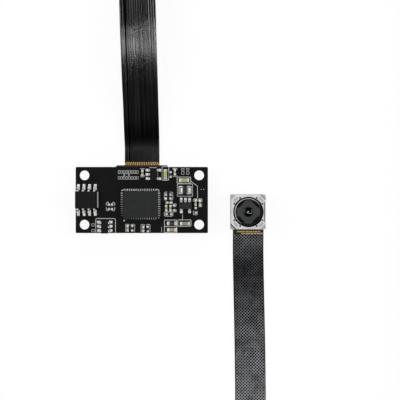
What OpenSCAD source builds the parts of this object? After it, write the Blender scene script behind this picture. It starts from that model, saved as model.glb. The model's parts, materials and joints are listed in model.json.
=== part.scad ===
// Autofocus camera module: a small circuit board, a long flexible circuit and a lens head.
// The origin is the centre of the board's four holes, on its underside. Up is +Z.

/* [Board] */
// Length of the board
board_l = 30; // [30:0.5:36]
// Width of the board
board_w = 15; // [15:0.5:18]
// Thickness of the board
board_t = 1.0; // [0.8:0.1:1.6]
// Distance between the holes along the board
hole_pitch_l = 26; // [25.5:0.1:27]
// Distance between the holes across the board
hole_pitch_w = 11.2; // [11:0.1:12]
// Diameter of the holes
hole_d = 2.2; // [2:0.1:2.6]
// Radius of the board's corners
board_corner_r = 0.3; // [0.1:0.1:1]
// Height of the connectors under the board
under_h = 2.0; // [1.8:0.1:3]

/* [Processor] */
// Length of the processor
processor_l = 8; // [7:0.5:9]
// Width of the processor
processor_w = 6; // [5:0.5:7]
// Height of the processor
processor_h = 0.85; // [0.6:0.05:1.2]
// Distance from one contact of the processor to the next
processor_pitch = 0.5; // [0.4:0.05:0.5]

/* [Flexible circuit] */
// Width of the flexible circuit at the board
flex_board_w = 7.9; // [6:0.1:8.1]
// Width of the flexible circuit at the head
flex_head_w = 7.0; // [6:0.1:7.5]
// Thickness of the flexible circuit
flex_t = 0.2; // [0.15:0.01:0.3]
// Thickness of its stiffened ends
flex_end_t = 0.3; // [0.25:0.01:0.3]

/* [Flexible circuit connector] */
// Number of contacts
flex_pins = 15; // [9:1:15]
// Distance from one contact to the next
flex_pitch = 0.5; // [0.5:0.1:0.5]
// Width of the housing
flex_housing_w = 12.1; // [12:0.1:13]
// Depth of the housing
flex_housing_d = 4.5; // [4.5:0.1:5]

/* [Wire header] */
// Number of pins
header_pins = 5; // [4:1:5]
// Distance from one pin to the next
header_pitch = 1.0; // [1:0.1:1]
// Depth of the housing
header_d = 4.2; // [4:0.1:4.5]

/* [Camera head] */
// Distance from the board's centre to the lens, along the board
head_x = 24.1; // [22:0.1:40]
// Distance from the board's centre to the lens, across the board
head_y = -2.7; // [-6:0.1:6]
// Width of the head's square base
head_w = 8.0; // [8:0.1:8.4]
// Width of the metal can
can_w = 7.7; // [7.6:0.1:7.8]
// Cut across each corner of the can
can_corner = 1.15; // [1:0.05:1.2]
// Wall of the can
can_wall = 0.15; // [0.1:0.01:0.18]
// Diameter of the can's opening
can_hole_d = 6.66; // [6.5:0.02:6.7]
// Height from the head's back to the can's front
head_h = 5.5; // [5.5:0.1:6]

/* [Lens] */
// Diameter of the lens barrel
barrel_d = 5.9; // [5.9:0.02:5.94]
// Diameter of the aperture in the front of the barrel
aperture_d = 1.92; // [1.5:0.02:2.2]
// How far the lens moves when it focuses
focus_travel = 0.3; // [0.2:0.01:0.33]

/* [Hidden] */
$fn = 64;

black = [0.09, 0.09, 0.09];
dark_grey = [0.18, 0.19, 0.19];
tin = [0.8, 0.8, 0.78];
steel = [0.72, 0.73, 0.72];
gold = [0.85, 0.66, 0.32];
copper = [0.72, 0.45, 0.25];
olive = [0.5, 0.5, 0.33];
brown = [0.55, 0.38, 0.33];
plastic = [0.12, 0.12, 0.12];
cream = [0.85, 0.84, 0.8];
clear = [0.6, 0.72, 0.75];

ground = -under_h;
pad_t = 0.05;
seat = board_t + pad_t;

// Where each part stands: x, y and its turn about Z
processor_at = [-0.3, -0.95, 0];
memory_at = [-12.65, 0, 0];
switch_at = [-8.4, -6.15, 90];
converter_at = [2.65, 5.8, 90];
regulator_at = [9.9, -1.25, 0];
inductor_at = [9.8, 2.25, 0];
crystal_at = [-8.2, -0.5, 90];
large_resistor_at = [6.85, -5.3, 0];
brown_capacitor_at = [6.85, -6.75, 0];
large_capacitor_at = [[5.35, 5.8, 90], [9.6, 4.5, 0], [9.8, -5.35, 0]];
small_capacitor_at = [
    [0.15, 6.15, 90], [7.5, 6.3, 90], [6.2, -0.6, 0], [5.55, -1.85, 90], [6.5, -1.85, 90],
    [-3.2, -6.4, 90], [0.35, -6.6, 90], [12.2, -0.6, 90], [13.2, -0.65, 90]
];
small_resistor_at = [
    [-7.45, -1.55, 90], [-6.75, -1.55, 90], [6.0, 1.2, 0], [6.0, 0.35, 0], [7.4, -1.8, 90],
    [6.15, -3.2, 0], [6.55, 5.8, 90], [-2.15, -6.4, 90], [1.35, -6.6, 90], [12.25, -2.35, 90]
];
under_capacitor_at = [[-5.2, 0.6, 90], [-5.2, -1.4, 90], [6.2, 1.4, 0], [6.2, 0.2, 0], [8.6, -0.6, 90]];
under_resistor_at = [[2.4, 1.6, 90], [-2.4, 1.6, 90]];

// Chip sizes: length, width, height and the length of each metal end
small_capacitor = [1.0, 0.5, 0.5, 0.25];
small_resistor = [1.0, 0.5, 0.35, 0.2];
large_capacitor = [1.8, 0.8, 0.8, 0.25];
large_resistor_size = [1.8, 0.8, 0.45, 0.35];

// ---- Helpers ----

module rounded_plate(l, w, r) {
    square([l - 2 * r, w], center = true);
    square([l, w - 2 * r], center = true);
    for (x = [-1, 1], y = [-1, 1])
        translate([x * (l / 2 - r), y * (w / 2 - r)]) circle(r, $fn = 32);
}

// A square of half width h, with its corners cut at a distance d from the centre
module cut_square(h, d) {
    k = d * sqrt(2) - h;
    polygon([[h, -k], [h, k], [k, h], [-k, h], [-h, k], [-h, -k], [-k, -h], [k, -h]]);
}

module block(size) translate([-size.x / 2, -size.y / 2, 0]) cube(size);

module put(place, level = seat) translate([place.x, place.y, level]) rotate(place[2]) children();

module on_top(places) for (p = places) put(p) children();

module under(places) for (p = places) translate([p.x, p.y, -pad_t]) mirror([0, 0, 1]) rotate(p[2]) children();

function arc(c, r, a0, a1, steps = 8) = [
    for (i = [0:steps]) let (a = a0 + (a1 - a0) * i / steps) c + r * [cos(a), sin(a)]
];

// ---- Chip capacitors and resistors ----

module chip_body(size) {
    inset = 0.02;
    translate([0, 0, inset]) block([size.x - 2 * size[3], size.y - 2 * inset, size.z - 2 * inset]);
}

module chip_ends(size)
    for (s = [-1, 1]) translate([s * (size.x - size[3]) / 2, 0, 0]) block([size[3], size.y, size.z]);

module chip_pads(size) {
    pad_l = size[3] + 0.3;
    for (s = [-1, 1]) translate([s * (size.x / 2 - size[3] / 2 + 0.1), 0, -pad_t])
        block([pad_l, size.y, pad_t]);
}

// ---- Parts in moulded bodies with bent leads ----

// A moulded body whose four sides slope away from the parting line at its middle
module moulded_body(l, w, h, lift, draft = 0.12) {
    m = lift + (h - lift) / 2;
    intersection() {
        rotate([90, 0, 0]) linear_extrude(w + 1, center = true) sloped_side(l / 2, lift, m, h, draft);
        rotate([90, 0, 90]) linear_extrude(l + 1, center = true) sloped_side(w / 2, lift, m, h, draft);
    }
}

module sloped_side(half, low, mid, high, draft)
    polygon([[-half + draft, low], [half - draft, low], [half, mid], [half - draft, high],
        [-half + draft, high], [-half, mid]]);

// A bent lead in the +Y side: out of the body, down, and along the pad
module bent_lead(root, toe, width, thick, shoulder_z) {
    knee = root + 0.28 * (toe - root);
    heel = root + 0.5 * (toe - root);
    bend = thick / 2;
    rotate([90, 0, 90]) linear_extrude(width, center = true) polygon([
        [root, shoulder_z], [knee - bend, shoulder_z], [heel - bend, 0.4 * bend], [heel, 0], [toe, 0],
        [toe, thick], [heel + bend, thick], [knee + bend, shoulder_z + thick - 0.4 * bend],
        [knee, shoulder_z + thick], [root, shoulder_z + thick]
    ]);
}

module row_of_leads(xs, root, toe, width, thick, shoulder_z)
    for (x = xs) translate([x, 0, 0]) bent_lead(root, toe, width, thick, shoulder_z);

module row_of_pads(xs, near, far, width)
    for (x = xs) translate([x, (near + far) / 2, -pad_t]) block([width, far - near, pad_t]);

module other_side() rotate(180) children();

// Three-lead rows of the small transistor package
sot_xs = [-0.95, 0, 0.95];
sot_outer_xs = [-0.95, 0.95];
sot_size = [2.9, 1.6, 1.1, 0.08];
sot_reach = 1.4;
sot_lead = [0.4, 0.13];
sot_shoulder = 0.52;

module sot_body() difference() {
    moulded_body(sot_size.x, sot_size.y, sot_size.z, sot_size[3]);
    translate([-sot_size.x / 2 + 0.45, -sot_size.y / 2 + 0.4, sot_size.z - 0.04])
        cylinder(h = 1, r = 0.13, $fn = 24);
}

module sot_leads(near_xs, far_xs) {
    other_side() row_of_leads(near_xs, sot_size.y / 2, sot_reach, sot_lead.x, sot_lead.y, sot_shoulder);
    row_of_leads(far_xs, sot_size.y / 2, sot_reach, sot_lead.x, sot_lead.y, sot_shoulder);
}

module sot_pads(near_xs, far_xs) {
    other_side() row_of_pads(near_xs, 0.95, 1.75, 0.6);
    row_of_pads(far_xs, 0.95, 1.75, 0.6);
}

memory_size = [4.9, 3.9, 1.55, 0.1];
memory_xs = [for (i = [0:3]) (i - 1.5) * 1.27];
memory_reach = 3.0;
memory_pad_shift = 0.2;

module memory_part() difference() {
    moulded_body(memory_size.x, memory_size.y, memory_size.z, memory_size[3], 0.16);
    translate([-memory_size.x / 2 + 0.75, -memory_size.y / 2 + 0.7, memory_size.z - 0.06])
        cylinder(h = 1, r = 0.28, $fn = 32);
}

// ---- Board ----

module circuit_board() color(black) linear_extrude(board_t) difference() {
    rounded_plate(board_l, board_w, board_corner_r);
    for (x = [-1, 1], y = [-1, 1])
        translate([x * hole_pitch_l / 2, y * hole_pitch_w / 2]) circle(d = hole_d);
}

module solder_pads() color(tin) {
    on_top(small_capacitor_at) chip_pads(small_capacitor);
    on_top(small_resistor_at) chip_pads(small_resistor);
    on_top(large_capacitor_at) chip_pads(large_capacitor);
    on_top([large_resistor_at, brown_capacitor_at]) chip_pads(large_resistor_size);
    under(under_capacitor_at) chip_pads(small_capacitor);
    under(under_resistor_at) chip_pads(small_resistor);
    put(switch_at) translate([0.2, 0, 0]) sot_pads(sot_xs, sot_xs);
    put(converter_at) sot_pads(sot_outer_xs, sot_xs);
    put(regulator_at) sot_pads(sot_outer_xs, sot_xs);
    put(inductor_at) for (s = [-1, 1]) translate([s * 1.05, 0, -pad_t]) block([0.8, inductor_size.y, pad_t]);
    put(memory_at) for (side = [0, 180]) translate([memory_pad_shift, 0, 0]) rotate(side)
        row_of_pads(memory_xs, 2.25, 3.6, 0.6);
    put(processor_at, board_t) each_contact() translate([0, 0.2, 0]) block([contact_w, 0.95, pad_t]);
    under([crystal_at]) crystal_corners() translate([0, 0, -pad_t]) block([1.1, 0.9, pad_t]);
}

// ---- Processor ----

contact_l = 0.4;
contact_w = 0.24;
contact_t = 0.2;
contact_proud = 0.03;
// The bare length at each end of a row of contacts
contact_margin = 0.5;

// Puts one contact's shape, pointing out along +Y, at each place round the processor
module each_contact() {
    for (side = [0, 1, 2, 3]) {
        across = side % 2 == 0;
        row_l = (across ? processor_l : processor_w) - 2 * contact_margin;
        count = floor(row_l / processor_pitch + 0.001) + 1;
        edge = (across ? processor_w : processor_l) / 2;
        rotate(90 * side) for (i = [0:count - 1])
            translate([(i - (count - 1) / 2) * processor_pitch, edge - contact_l / 2, 0]) children();
    }
}

module processor_contacts() color(tin) put(processor_at)
    each_contact() translate([0, contact_proud / 2, 0])
        block([contact_w, contact_l + contact_proud, contact_t]);

module processor_body() color(dark_grey) put(processor_at) difference() {
    union() {
        block([processor_l, processor_w, processor_h - 0.03]);
        block([processor_l - 0.06, processor_w - 0.06, processor_h]);
    }
    each_contact() translate([0, 0.5, -0.01]) block([contact_w, contact_l + 1, contact_t + 0.01]);
    translate([-processor_l / 2 + 0.8, -processor_w / 2 + 0.8, processor_h - 0.05])
        cylinder(h = 1, r = 0.25, $fn = 32);
}

// ---- Other parts on top of the board ----

module memory_body() color(black) put(memory_at) memory_part();

module memory_leads() color(tin) put(memory_at) for (side = [0, 180]) rotate(side)
    row_of_leads(memory_xs, memory_size.y / 2, memory_reach, 0.42, 0.18, 0.72);

module switch_body() color(black) put(switch_at) sot_body();

module switch_leads() color(tin) put(switch_at) sot_leads(sot_xs, sot_xs);

module converter_body() color(black) put(converter_at) sot_body();

module converter_leads() color(tin) put(converter_at) sot_leads(sot_outer_xs, sot_xs);

module regulator_body() color(dark_grey) put(regulator_at) sot_body();

module regulator_leads() color(tin) put(regulator_at) sot_leads(sot_outer_xs, sot_xs);

inductor_size = [2.6, 1.8, 1.0];
terminal_l = 0.85;
terminal_t = 0.08;

// The core steps in at both ends, where the terminals wrap round it
module inductor_core() color(dark_grey) put(inductor_at) translate([0, 0, terminal_t]) {
    block(inductor_size - 2 * terminal_t * [1, 1, 1]);
    block([inductor_size.x - 2 * terminal_l, inductor_size.y, inductor_size.z - terminal_t]);
}

module inductor_terminals() color(tin) put(inductor_at) for (s = [-1, 1])
    translate([s * (inductor_size.x - terminal_l) / 2, 0, 0]) difference() {
        block([terminal_l, inductor_size.y, inductor_size.z]);
        translate([-s * (terminal_t + 1), 0, terminal_t])
            block([terminal_l + 2, inductor_size.y - 2 * terminal_t, inductor_size.z - 2 * terminal_t]);
    }

module large_capacitors() color(olive) on_top(large_capacitor_at) chip_body(large_capacitor);

module brown_capacitor() color(brown) put(brown_capacitor_at) chip_body(large_resistor_size);

module large_resistor() color(black) put(large_resistor_at) chip_body(large_resistor_size);

module large_chip_ends() color(tin) {
    on_top(large_capacitor_at) chip_ends(large_capacitor);
    on_top([large_resistor_at, brown_capacitor_at]) chip_ends(large_resistor_size);
}

module small_capacitors() color(olive) {
    on_top(small_capacitor_at) chip_body(small_capacitor);
    under(under_capacitor_at) chip_body(small_capacitor);
}

module small_capacitor_ends() color(tin) {
    on_top(small_capacitor_at) chip_ends(small_capacitor);
    under(under_capacitor_at) chip_ends(small_capacitor);
}

module small_resistors() color(black) {
    on_top(small_resistor_at) chip_body(small_resistor);
    under(under_resistor_at) chip_body(small_resistor);
}

module small_resistor_ends() color(tin) {
    on_top(small_resistor_at) chip_ends(small_resistor);
    under(under_resistor_at) chip_ends(small_resistor);
}

// ---- Crystal, under the board ----

crystal_size = [3.2, 2.5, 0.7];
crystal_base_h = 0.4;

module crystal_corners() for (x = [-1, 1], y = [-1, 1])
    translate([x * 1.1, y * 0.85, 0]) children();

module crystal_base() color(cream) under([crystal_at])
    linear_extrude(crystal_base_h) difference() {
        square([crystal_size.x, crystal_size.y], center = true);
        for (x = [-1, 1], y = [-1, 1])
            translate([x * crystal_size.x / 2, y * crystal_size.y / 2]) circle(0.2, $fn = 32);
    }

module crystal_lid() color(steel) under([crystal_at]) translate([0, 0, crystal_base_h])
    linear_extrude(crystal_size.z - crystal_base_h)
        rounded_plate(crystal_size.x - 0.3, crystal_size.y - 0.3, 0.3);

// ---- Connector of the flexible circuit, under the board's +Y edge ----
// Its modules are drawn from the mouth inwards: Y is the depth, and Z goes down from the board.

flex_mouth_y = board_w / 2 + 0.4;
slot_w = flex_board_w + 0.2;
slot_d = 2.4;
slot_z = 1.1 - pad_t;
contact_slot_w = 0.26;
housing_h = under_h - pad_t;
latch_y = flex_housing_d - 1.0;
arm_w = 1.2;

module from_mouth() translate([0, flex_mouth_y, -pad_t]) mirror([0, 0, 1]) rotate(180) children();

module each_flex_pin() for (i = [0:flex_pins - 1])
    translate([(i - (flex_pins - 1) / 2) * flex_pitch, 0, 0]) children();

module flex_connector_housing() color(plastic) from_mouth() difference() {
    linear_extrude(housing_h) difference() {
        polygon([
            [-flex_housing_w / 2, 0.4], [-flex_housing_w / 2 + 0.4, 0], [flex_housing_w / 2 - 0.4, 0],
            [flex_housing_w / 2, 0.4], [flex_housing_w / 2, flex_housing_d],
            [-flex_housing_w / 2, flex_housing_d]
        ]);
        translate([-flex_housing_w / 2 + arm_w, latch_y]) square([flex_housing_w - 2 * arm_w, 2]);
    }
    // The slot for the circuit, wider at its mouth
    translate([0, slot_d / 2 - 0.5, slot_z - flex_end_t / 2]) block([slot_w, slot_d + 1, flex_end_t]);
    rotate([90, 0, 90]) linear_extrude(slot_w, center = true) polygon([
        [-0.1, slot_z - 0.45], [0.5, slot_z - flex_end_t / 2],
        [0.5, slot_z + flex_end_t / 2], [-0.1, slot_z + 0.45]
    ]);
    each_flex_pin() translate([0, 0.8 + 2, 0.5 - pad_t]) block([contact_slot_w, 4, 1.2]);
    each_flex_pin() translate([0, 3.2 + 2, -0.1]) block([contact_slot_w, 4, 1]);
    for (s = [-1, 1]) translate([s * 5.75, 1.9, -0.1]) block([0.22, 2.2, 1.3]);
    for (s = [-1, 1]) translate([s * 6, 1.9, -0.1]) block([0.6, 1.4, 0.3]);
}

// The bar at the back that turns to grip the circuit
module flex_connector_latch() color(dark_grey) from_mouth()
    rotate([90, 0, 90]) linear_extrude(flex_housing_w - 2 * arm_w - 0.1, center = true) polygon(concat(
        arc([latch_y + 0.35, housing_h - 0.35], 0.3, 180, 90),
        [[latch_y + 0.9, housing_h - 0.05], [latch_y + 0.98, housing_h - 0.3], [latch_y + 0.98, 0.7]],
        [[latch_y + 0.75, 0.5], [latch_y + 0.05, 0.5]]
    ));

// One forked contact, whose two arms pinch the circuit
module flex_connector_contacts() color(gold) from_mouth() {
    low = slot_z - flex_end_t / 2;
    high = slot_z + flex_end_t / 2;
    each_flex_pin() rotate([90, 0, 90]) linear_extrude(0.2, center = true) polygon([
        [0.9, 0.5], [1.1, low], [1.25, low], [1.45, 0.7], [3.1, 0.8], [3.1, 1.3], [1.45, 1.4], [1.25, high],
        [1.1, high], [0.9, 1.6], [3.45, 1.6], [3.45, 0.2], [5.1, 0.2], [5.1, 0], [3.25, 0], [3.25, 0.5]
    ]);
}

module flex_connector_tabs() color(tin) from_mouth() for (s = [-1, 1]) scale([s, 1, 1]) {
    translate([5.75, 1.9, 0]) block([0.18, 2, 1.15]);
    translate([6.09, 1.9, 0]) block([0.5, 1.3, 0.18]);
}

// ---- Wire header, under the board's -Y edge ----

header_w = header_pins * header_pitch + 2.8;
header_mouth_y = -board_w / 2 + 0.1;
header_cavity = [header_w - 1.4, 3.4, 1.35];
header_pin_z = 0.95;
header_pin_w = 0.3;
header_tab = [0.2, 2.4, 1.2];

module from_header_mouth() translate([0, header_mouth_y, -pad_t]) mirror([0, 0, 1]) children();

module header_housing() color(cream) from_header_mouth() difference() {
    translate([0, header_d / 2, 0]) block([header_w, header_d, housing_h]);
    translate([0, header_cavity.y / 2 - 0.5, header_pin_z - header_cavity.z / 2])
        block([header_cavity.x, header_cavity.y + 1, header_cavity.z]);
    // Windows for the plug's catches, and a key slot between them
    for (s = [-1, 1]) translate([s * (header_cavity.x / 2 - 0.9), 1.7, header_pin_z]) block([0.7, 1.2, 2]);
    translate([0, 0.5, header_pin_z]) block([1.4, 2.4, 2]);
    for (i = [0:header_pins - 1]) translate([(i - (header_pins - 1) / 2) * header_pitch, header_d, -0.1])
        block([header_pin_w, 1.8, header_pin_z + header_pin_w / 2 + 0.1]);
    for (s = [-1, 1]) translate([s * (header_w / 2 - header_tab.x / 2), 2, -0.1])
        block([header_tab.x + 0.001, header_tab.y, header_tab.z + 0.1]);
}

module header_contacts() color(gold) from_header_mouth()
    for (i = [0:header_pins - 1]) translate([(i - (header_pins - 1) / 2) * header_pitch, 0, 0])
        rotate([90, 0, 90]) linear_extrude(header_pin_w, center = true) polygon([
            [0.6, header_pin_z - 0.08], [0.75, header_pin_z - header_pin_w / 2],
            [header_d, header_pin_z - header_pin_w / 2], [header_d, 0], [header_d + 0.9, 0],
            [header_d + 0.9, 0.2], [header_d + 0.3, 0.2], [header_d + 0.3, header_pin_z + header_pin_w / 2],
            [0.75, header_pin_z + header_pin_w / 2], [0.6, header_pin_z + 0.08]
        ]);

module header_tabs() color(tin) from_header_mouth() for (s = [-1, 1]) scale([s, 1, 1]) {
    translate([header_w / 2 - header_tab.x / 2, 2, 0]) block(header_tab);
    translate([header_w / 2 + 0.35, 2, 0]) block([0.7, 1.5, 0.2]);
}

// ---- Flexible circuit ----

flex_start_y = flex_mouth_y + 0.75;
flex_start_z = -pad_t - slot_z;

module flex_board_end() color(gold) translate([0, flex_mouth_y - slot_d, flex_start_z - flex_end_t / 2])
    linear_extrude(flex_end_t) polygon([
        [-flex_board_w / 2 + 0.3, 0], [flex_board_w / 2 - 0.3, 0], [flex_board_w / 2, 0.3],
        [flex_board_w / 2, slot_d + 0.75], [-flex_board_w / 2, slot_d + 0.75], [-flex_board_w / 2, 0.3]
    ]);

// The way the circuit lies. Each point is x, y, z, its turn about its own length, and its width.
// It leaves the board flat, rises in a low arch, turns on edge for a wide loop, and comes back
// to the head with its other side up. Turn 0 is flat, 90 on edge, 180 flat the other way up.
flex_end_y = head_y - 5.1;
flex_end_z = ground + 0.325;
flex_route = [
    [0, flex_start_y, flex_start_z, 0, flex_board_w], [0, 12, flex_start_z, 0, flex_board_w],
    [-0.1, 16, -0.3, 0, 8.0], [-0.2, 21, 1.5, 0, 8.0], [-0.35, 27, 3.5, 0, 8.1], [-0.5, 33.5, 4.9, 0, 8.15],
    [-0.7, 40, 5.4, 0, 8.2], [-0.9, 47, 5.0, 8, 8.2], [-0.9, 55, 3.9, 35, 8.2], [-0.4, 63, 2.8, 65, 8.2],
    [1.8, 72, 2.2, 85, 8.1], [6.2, 82, 2.1, 90, 8.0], [16.5, 91, 2.0, 90, 7.9], [32.5, 95, 1.95, 90, 7.8],
    [48.5, 91, 1.9, 90, 7.7], [59.5, 81, 1.85, 90, 7.6], [65, 67, 1.8, 90, 7.5], [66, 51, 1.75, 90, 7.4],
    [66.2, 33, 1.7, 90, 7.3], [66.2, 14, 1.65, 90, 7.2], [66, -5, 1.6, 90, 7.1], [65.9, -24, 1.55, 90, 7.0],
    [66, -42, 1.55, 90, 7.0], [66, -58, 1.55, 90, 7.0], [63.5, -71, 1.55, 90, 7.0], [56, -81, 1.55, 90, 7.0],
    [45.3, -85, 1.55, 92, 7.0], [34.5, -81, 1.5, 98, 7.0], [27.2, -71, 1.3, 115, 7.0],
    [25, -60, 0.4, 145, 7.0], [24.75, -50, -1.1, 172, 7.0], [24.7, -41, -1.75, 180, 7.0],
    [24.55, -31, -1.6, 180, 7.0], [24.35, -21, -1.75, 180, 7.0],
    [24.2, flex_end_y - 5, flex_end_z, 180, flex_head_w], [24.2, flex_end_y, flex_end_z, 180, flex_head_w]
];
flex_steps = 2;

function unit(v) = v / norm(v);
function point_of(v) = [v[0], v[1], v[2]];
function route_point(i) = flex_route[max(0, min(len(flex_route) - 1, i))];

// The smooth curve through the points, and its direction
function curve(a, b, c, d, t) = 0.5 * (2 * b + (c - a) * t + (2 * a - 5 * b + 4 * c - d) * t * t
    + (3 * b - a - 3 * c + d) * t * t * t);
function slope(a, b, c, d, t) = 0.5 * ((c - a) + 2 * (2 * a - 5 * b + 4 * c - d) * t
    + 3 * (3 * b - a - 3 * c + d) * t * t);

function flex_ring(i, t) = let (
    a = route_point(i - 1), b = route_point(i), c = route_point(i + 1), d = route_point(i + 2),
    at = curve(a, b, c, d, t), ahead = unit(point_of(slope(a, b, c, d, t))),
    side = unit(cross(ahead, [0, 0, 1])), up = cross(side, ahead), turn = at[3], half = at[4] / 2,
    across = side * cos(turn) + up * sin(turn), out = up * cos(turn) - side * sin(turn),
    bevel = flex_t / 4, high = flex_t / 2
) [for (p = [
    [half, bevel - high], [half, high - bevel], [half - bevel, high], [bevel - half, high],
    [-half, high - bevel], [-half, bevel - high], [bevel - half, -high], [half - bevel, -high]
]) point_of(at) + across * p.x + out * p.y];

module flex_cable() color(black) {
    spans = len(flex_route) - 1;
    rings = [
        for (i = [0:spans - 1], s = [0:flex_steps - 1]) flex_ring(i, s / flex_steps),
        flex_ring(spans - 1, 1)
    ];
    sides = len(rings[0]);
    last = len(rings) - 1;
    points = [for (ring = rings, p = ring) p];
    // Both faces of the ribbon are split along the same diagonal, so that it keeps its thickness
    walls = [
        for (r = [0:last - 1], k = [0:sides - 1]) let (
            n = (k + 1) % sides, a = r * sides + k, b = r * sides + n, c = a + sides, d = b + sides
        ) each (k < sides / 2 ? [[a, b, d], [a, d, c]] : [[a, b, c], [b, d, c]])
    ];
    start = [for (k = [sides - 1:-1:0]) k];
    end = [for (k = [0:sides - 1]) last * sides + k];
    polyhedron(points, concat(walls, [start, end]));
}

// ---- Camera head, from its back to its front ----

stiffener_t = 0.2;
head_flex_t = 0.25;
head_flex_z = ground + stiffener_t;
holder_z = head_flex_z + head_flex_t;
holder_h = 1.85;
base_z = holder_z + holder_h;
base_t = 0.4;
can_z = base_z + base_t;
can_top = ground + head_h;
sensor_size = [6.0, 5.0, 0.45];
filter_size = [5.8, 5.0, 0.21];

module head() translate([head_x, head_y, 0]) children();

module head_stiffener() color(steel) head() translate([0, 0, ground])
    linear_extrude(stiffener_t) rounded_plate(head_w, head_w, 0.3);

// The stiffened end of the flexible circuit, under the sensor, with its neck towards the cable
module flex_head_end() color(gold) head() translate([0, 0, head_flex_z]) linear_extrude(head_flex_t) {
    rounded_plate(head_w, head_w, 0.3);
    translate([0.1 - flex_head_w / 2, -5.1]) square([flex_head_w, 2]);
}

module image_sensor() color(dark_grey) head() translate([0, 0, holder_z]) {
    block(sensor_size - [0, 0, 0.05]);
    block([sensor_size.x - 1, sensor_size.y - 1, sensor_size.z]);
}

module focus_driver() color(black) head() translate([0, 3, holder_z]) block([1.3, 0.7, 0.35]);

module head_capacitors() color(olive) head()
    for (x = [-2.4, -1.4, 1.4, 2.4]) translate([x, 3, holder_z]) block([0.6, 0.3, 0.3]);

module sensor_holder() color(plastic) head() translate([0, 0, holder_z]) difference() {
    linear_extrude(holder_h) rounded_plate(head_w, head_w, 0.35);
    translate([0, 0, -1]) block([6.8, 6.8, 1 + holder_h - 0.55]);
    block([5.0, 4.2, 3]);
    translate([0, 0, holder_h - 0.3]) cylinder(h = 1, r1 = 2.6, r2 = 3.3);
}

module infrared_filter() color(clear, 0.6) head()
    translate([0, 0, holder_z + holder_h - 0.55 - filter_size.z]) block(filter_size);

// Distances from the lens axis to each layer in the corners of the head
can_cut = (can_w - can_corner) / sqrt(2);
tab_in = 3.45;
tab_t = 0.12;
tab_w = 1.3;
tab_z = 2.2;
coil_in = tab_in + tab_t + 0.1;
coil_t = 0.22;
magnet_in = coil_in + coil_t + 0.1;
magnet_gap = 0.02;
magnet_out = can_cut - can_wall;
frame_post_r = 0.12;
frame_post_at = (magnet_in + magnet_out) / 2;
coil_side = 3.3;
can_inner = can_w / 2 - can_wall;
spring_t = 0.05;
post_h = 0.2;
lower_spring_z = can_z + post_h;
carrier_z = lower_spring_z + spring_t;
// The carrier stops just under the can at the end of its travel
carrier_top = can_top - can_wall - focus_travel - 0.05;
carrier_r = 3.25;
magnet_z = carrier_z + 0.05;
magnet_h = 1.6;
ring_r = barrel_d / 2 + 0.12;
coil_z = carrier_z + 0.25;
coil_h = 1.2;
coil_ledge = 0.2;
ring_depth = 0.5;
spring_gap = 0.05;

module each_corner() for (a = [45:90:315]) rotate(a) children();

module actuator_base() color(cream) head() translate([0, 0, base_z]) {
    linear_extrude(base_t) difference() {
        rounded_plate(head_w, head_w, 0.4);
        circle(3.05);
    }
    // Posts that carry the lower spring
    each_corner() translate([3.95, 0, base_t - 0.1]) block([0.7, 1.2, post_h + 0.1]);
}

// Joins the carrier to the fixed frame by a thin arm along each side
module leaf_spring(inner_r, pad_in, pad_hole) linear_extrude(spring_t) intersection() {
    cut_square(can_inner - spring_gap, can_cut - can_wall - spring_gap);
    union() {
        difference() {
            circle(inner_r + 0.15);
            circle(inner_r);
        }
        each_corner() difference() {
            translate([pad_in, -0.95]) square([0.7, 1.9]);
            translate([pad_hole, 0]) circle(frame_post_r + 0.03, $fn = 32);
        }
        for (a = [0:90:270]) rotate(a) {
            translate([inner_r + 0.05, -0.25]) square([0.5, 0.15]);
            translate([inner_r + 0.4, -0.25]) square([0.1, 2.6]);
        }
    }
}

module lower_spring() color(copper) head() translate([0, 0, lower_spring_z]) leaf_spring(3.0, 3.62, 3.97);

module magnets() color(steel) head() translate([0, 0, magnet_z]) each_corner()
    linear_extrude(magnet_h) polygon([
        [magnet_in, -corner_half(magnet_in)], [magnet_out, -corner_half(magnet_out)],
        [magnet_out, corner_half(magnet_out)], [magnet_in, corner_half(magnet_in)]
    ]);

// Half of the room between the can's two walls, at a distance from the lens axis towards a corner
function corner_half(out) = can_inner * sqrt(2) - out - magnet_gap;

module spacer_frame() color(plastic) head() translate([0, 0, magnet_z + magnet_h]) {
    frame_h = carrier_top - magnet_z - magnet_h;
    linear_extrude(frame_h) difference() {
        cut_square(can_inner, can_cut - can_wall);
        cut_square(can_inner - 0.12, magnet_in);
    }
    // Posts that go through the upper spring's holes and up to the can
    each_corner() translate([frame_post_at, 0, 0])
        cylinder(h = can_top - can_wall - magnet_z - magnet_h, r = frame_post_r, $fn = 32);
}

module upper_spring() color(copper) head() translate([0, 0, carrier_top])
    leaf_spring(ring_r, magnet_in - 0.05, frame_post_at);

// The can: chamfered corners, and a round opening with four tabs folded down at the corners
module yoke_can() color(steel) head() {
    top_bevel = 0.1;
    difference() {
        hull() {
            translate([0, 0, can_z]) linear_extrude(can_top - top_bevel - can_z)
                cut_square(can_w / 2, can_cut);
            translate([0, 0, can_z]) linear_extrude(can_top - can_z)
                cut_square(can_w / 2 - top_bevel, can_cut - top_bevel);
        }
        translate([0, 0, can_z - 1]) linear_extrude(can_top - can_z - can_wall + 1)
            cut_square(can_inner, can_cut - can_wall);
        translate([0, 0, can_top - 1]) cylinder(h = 2, d = can_hole_d, $fn = 96);
        translate([0, 0, can_top - 1]) each_corner() linear_extrude(2) tab_window();
        translate([0, 0, can_top - 0.05]) each_corner() translate([4.0, 0, 0]) block([0.6, 1.15, 1]);
        for (a = [0:90:270]) rotate(a) translate([can_w / 2, 0, can_z - 1]) block([1, 1.6, 1.35]);
    }
    each_corner() translate([tab_in + tab_t / 2, 0, tab_z]) block([tab_t, tab_w, can_top - can_wall - tab_z]);
}

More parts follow.
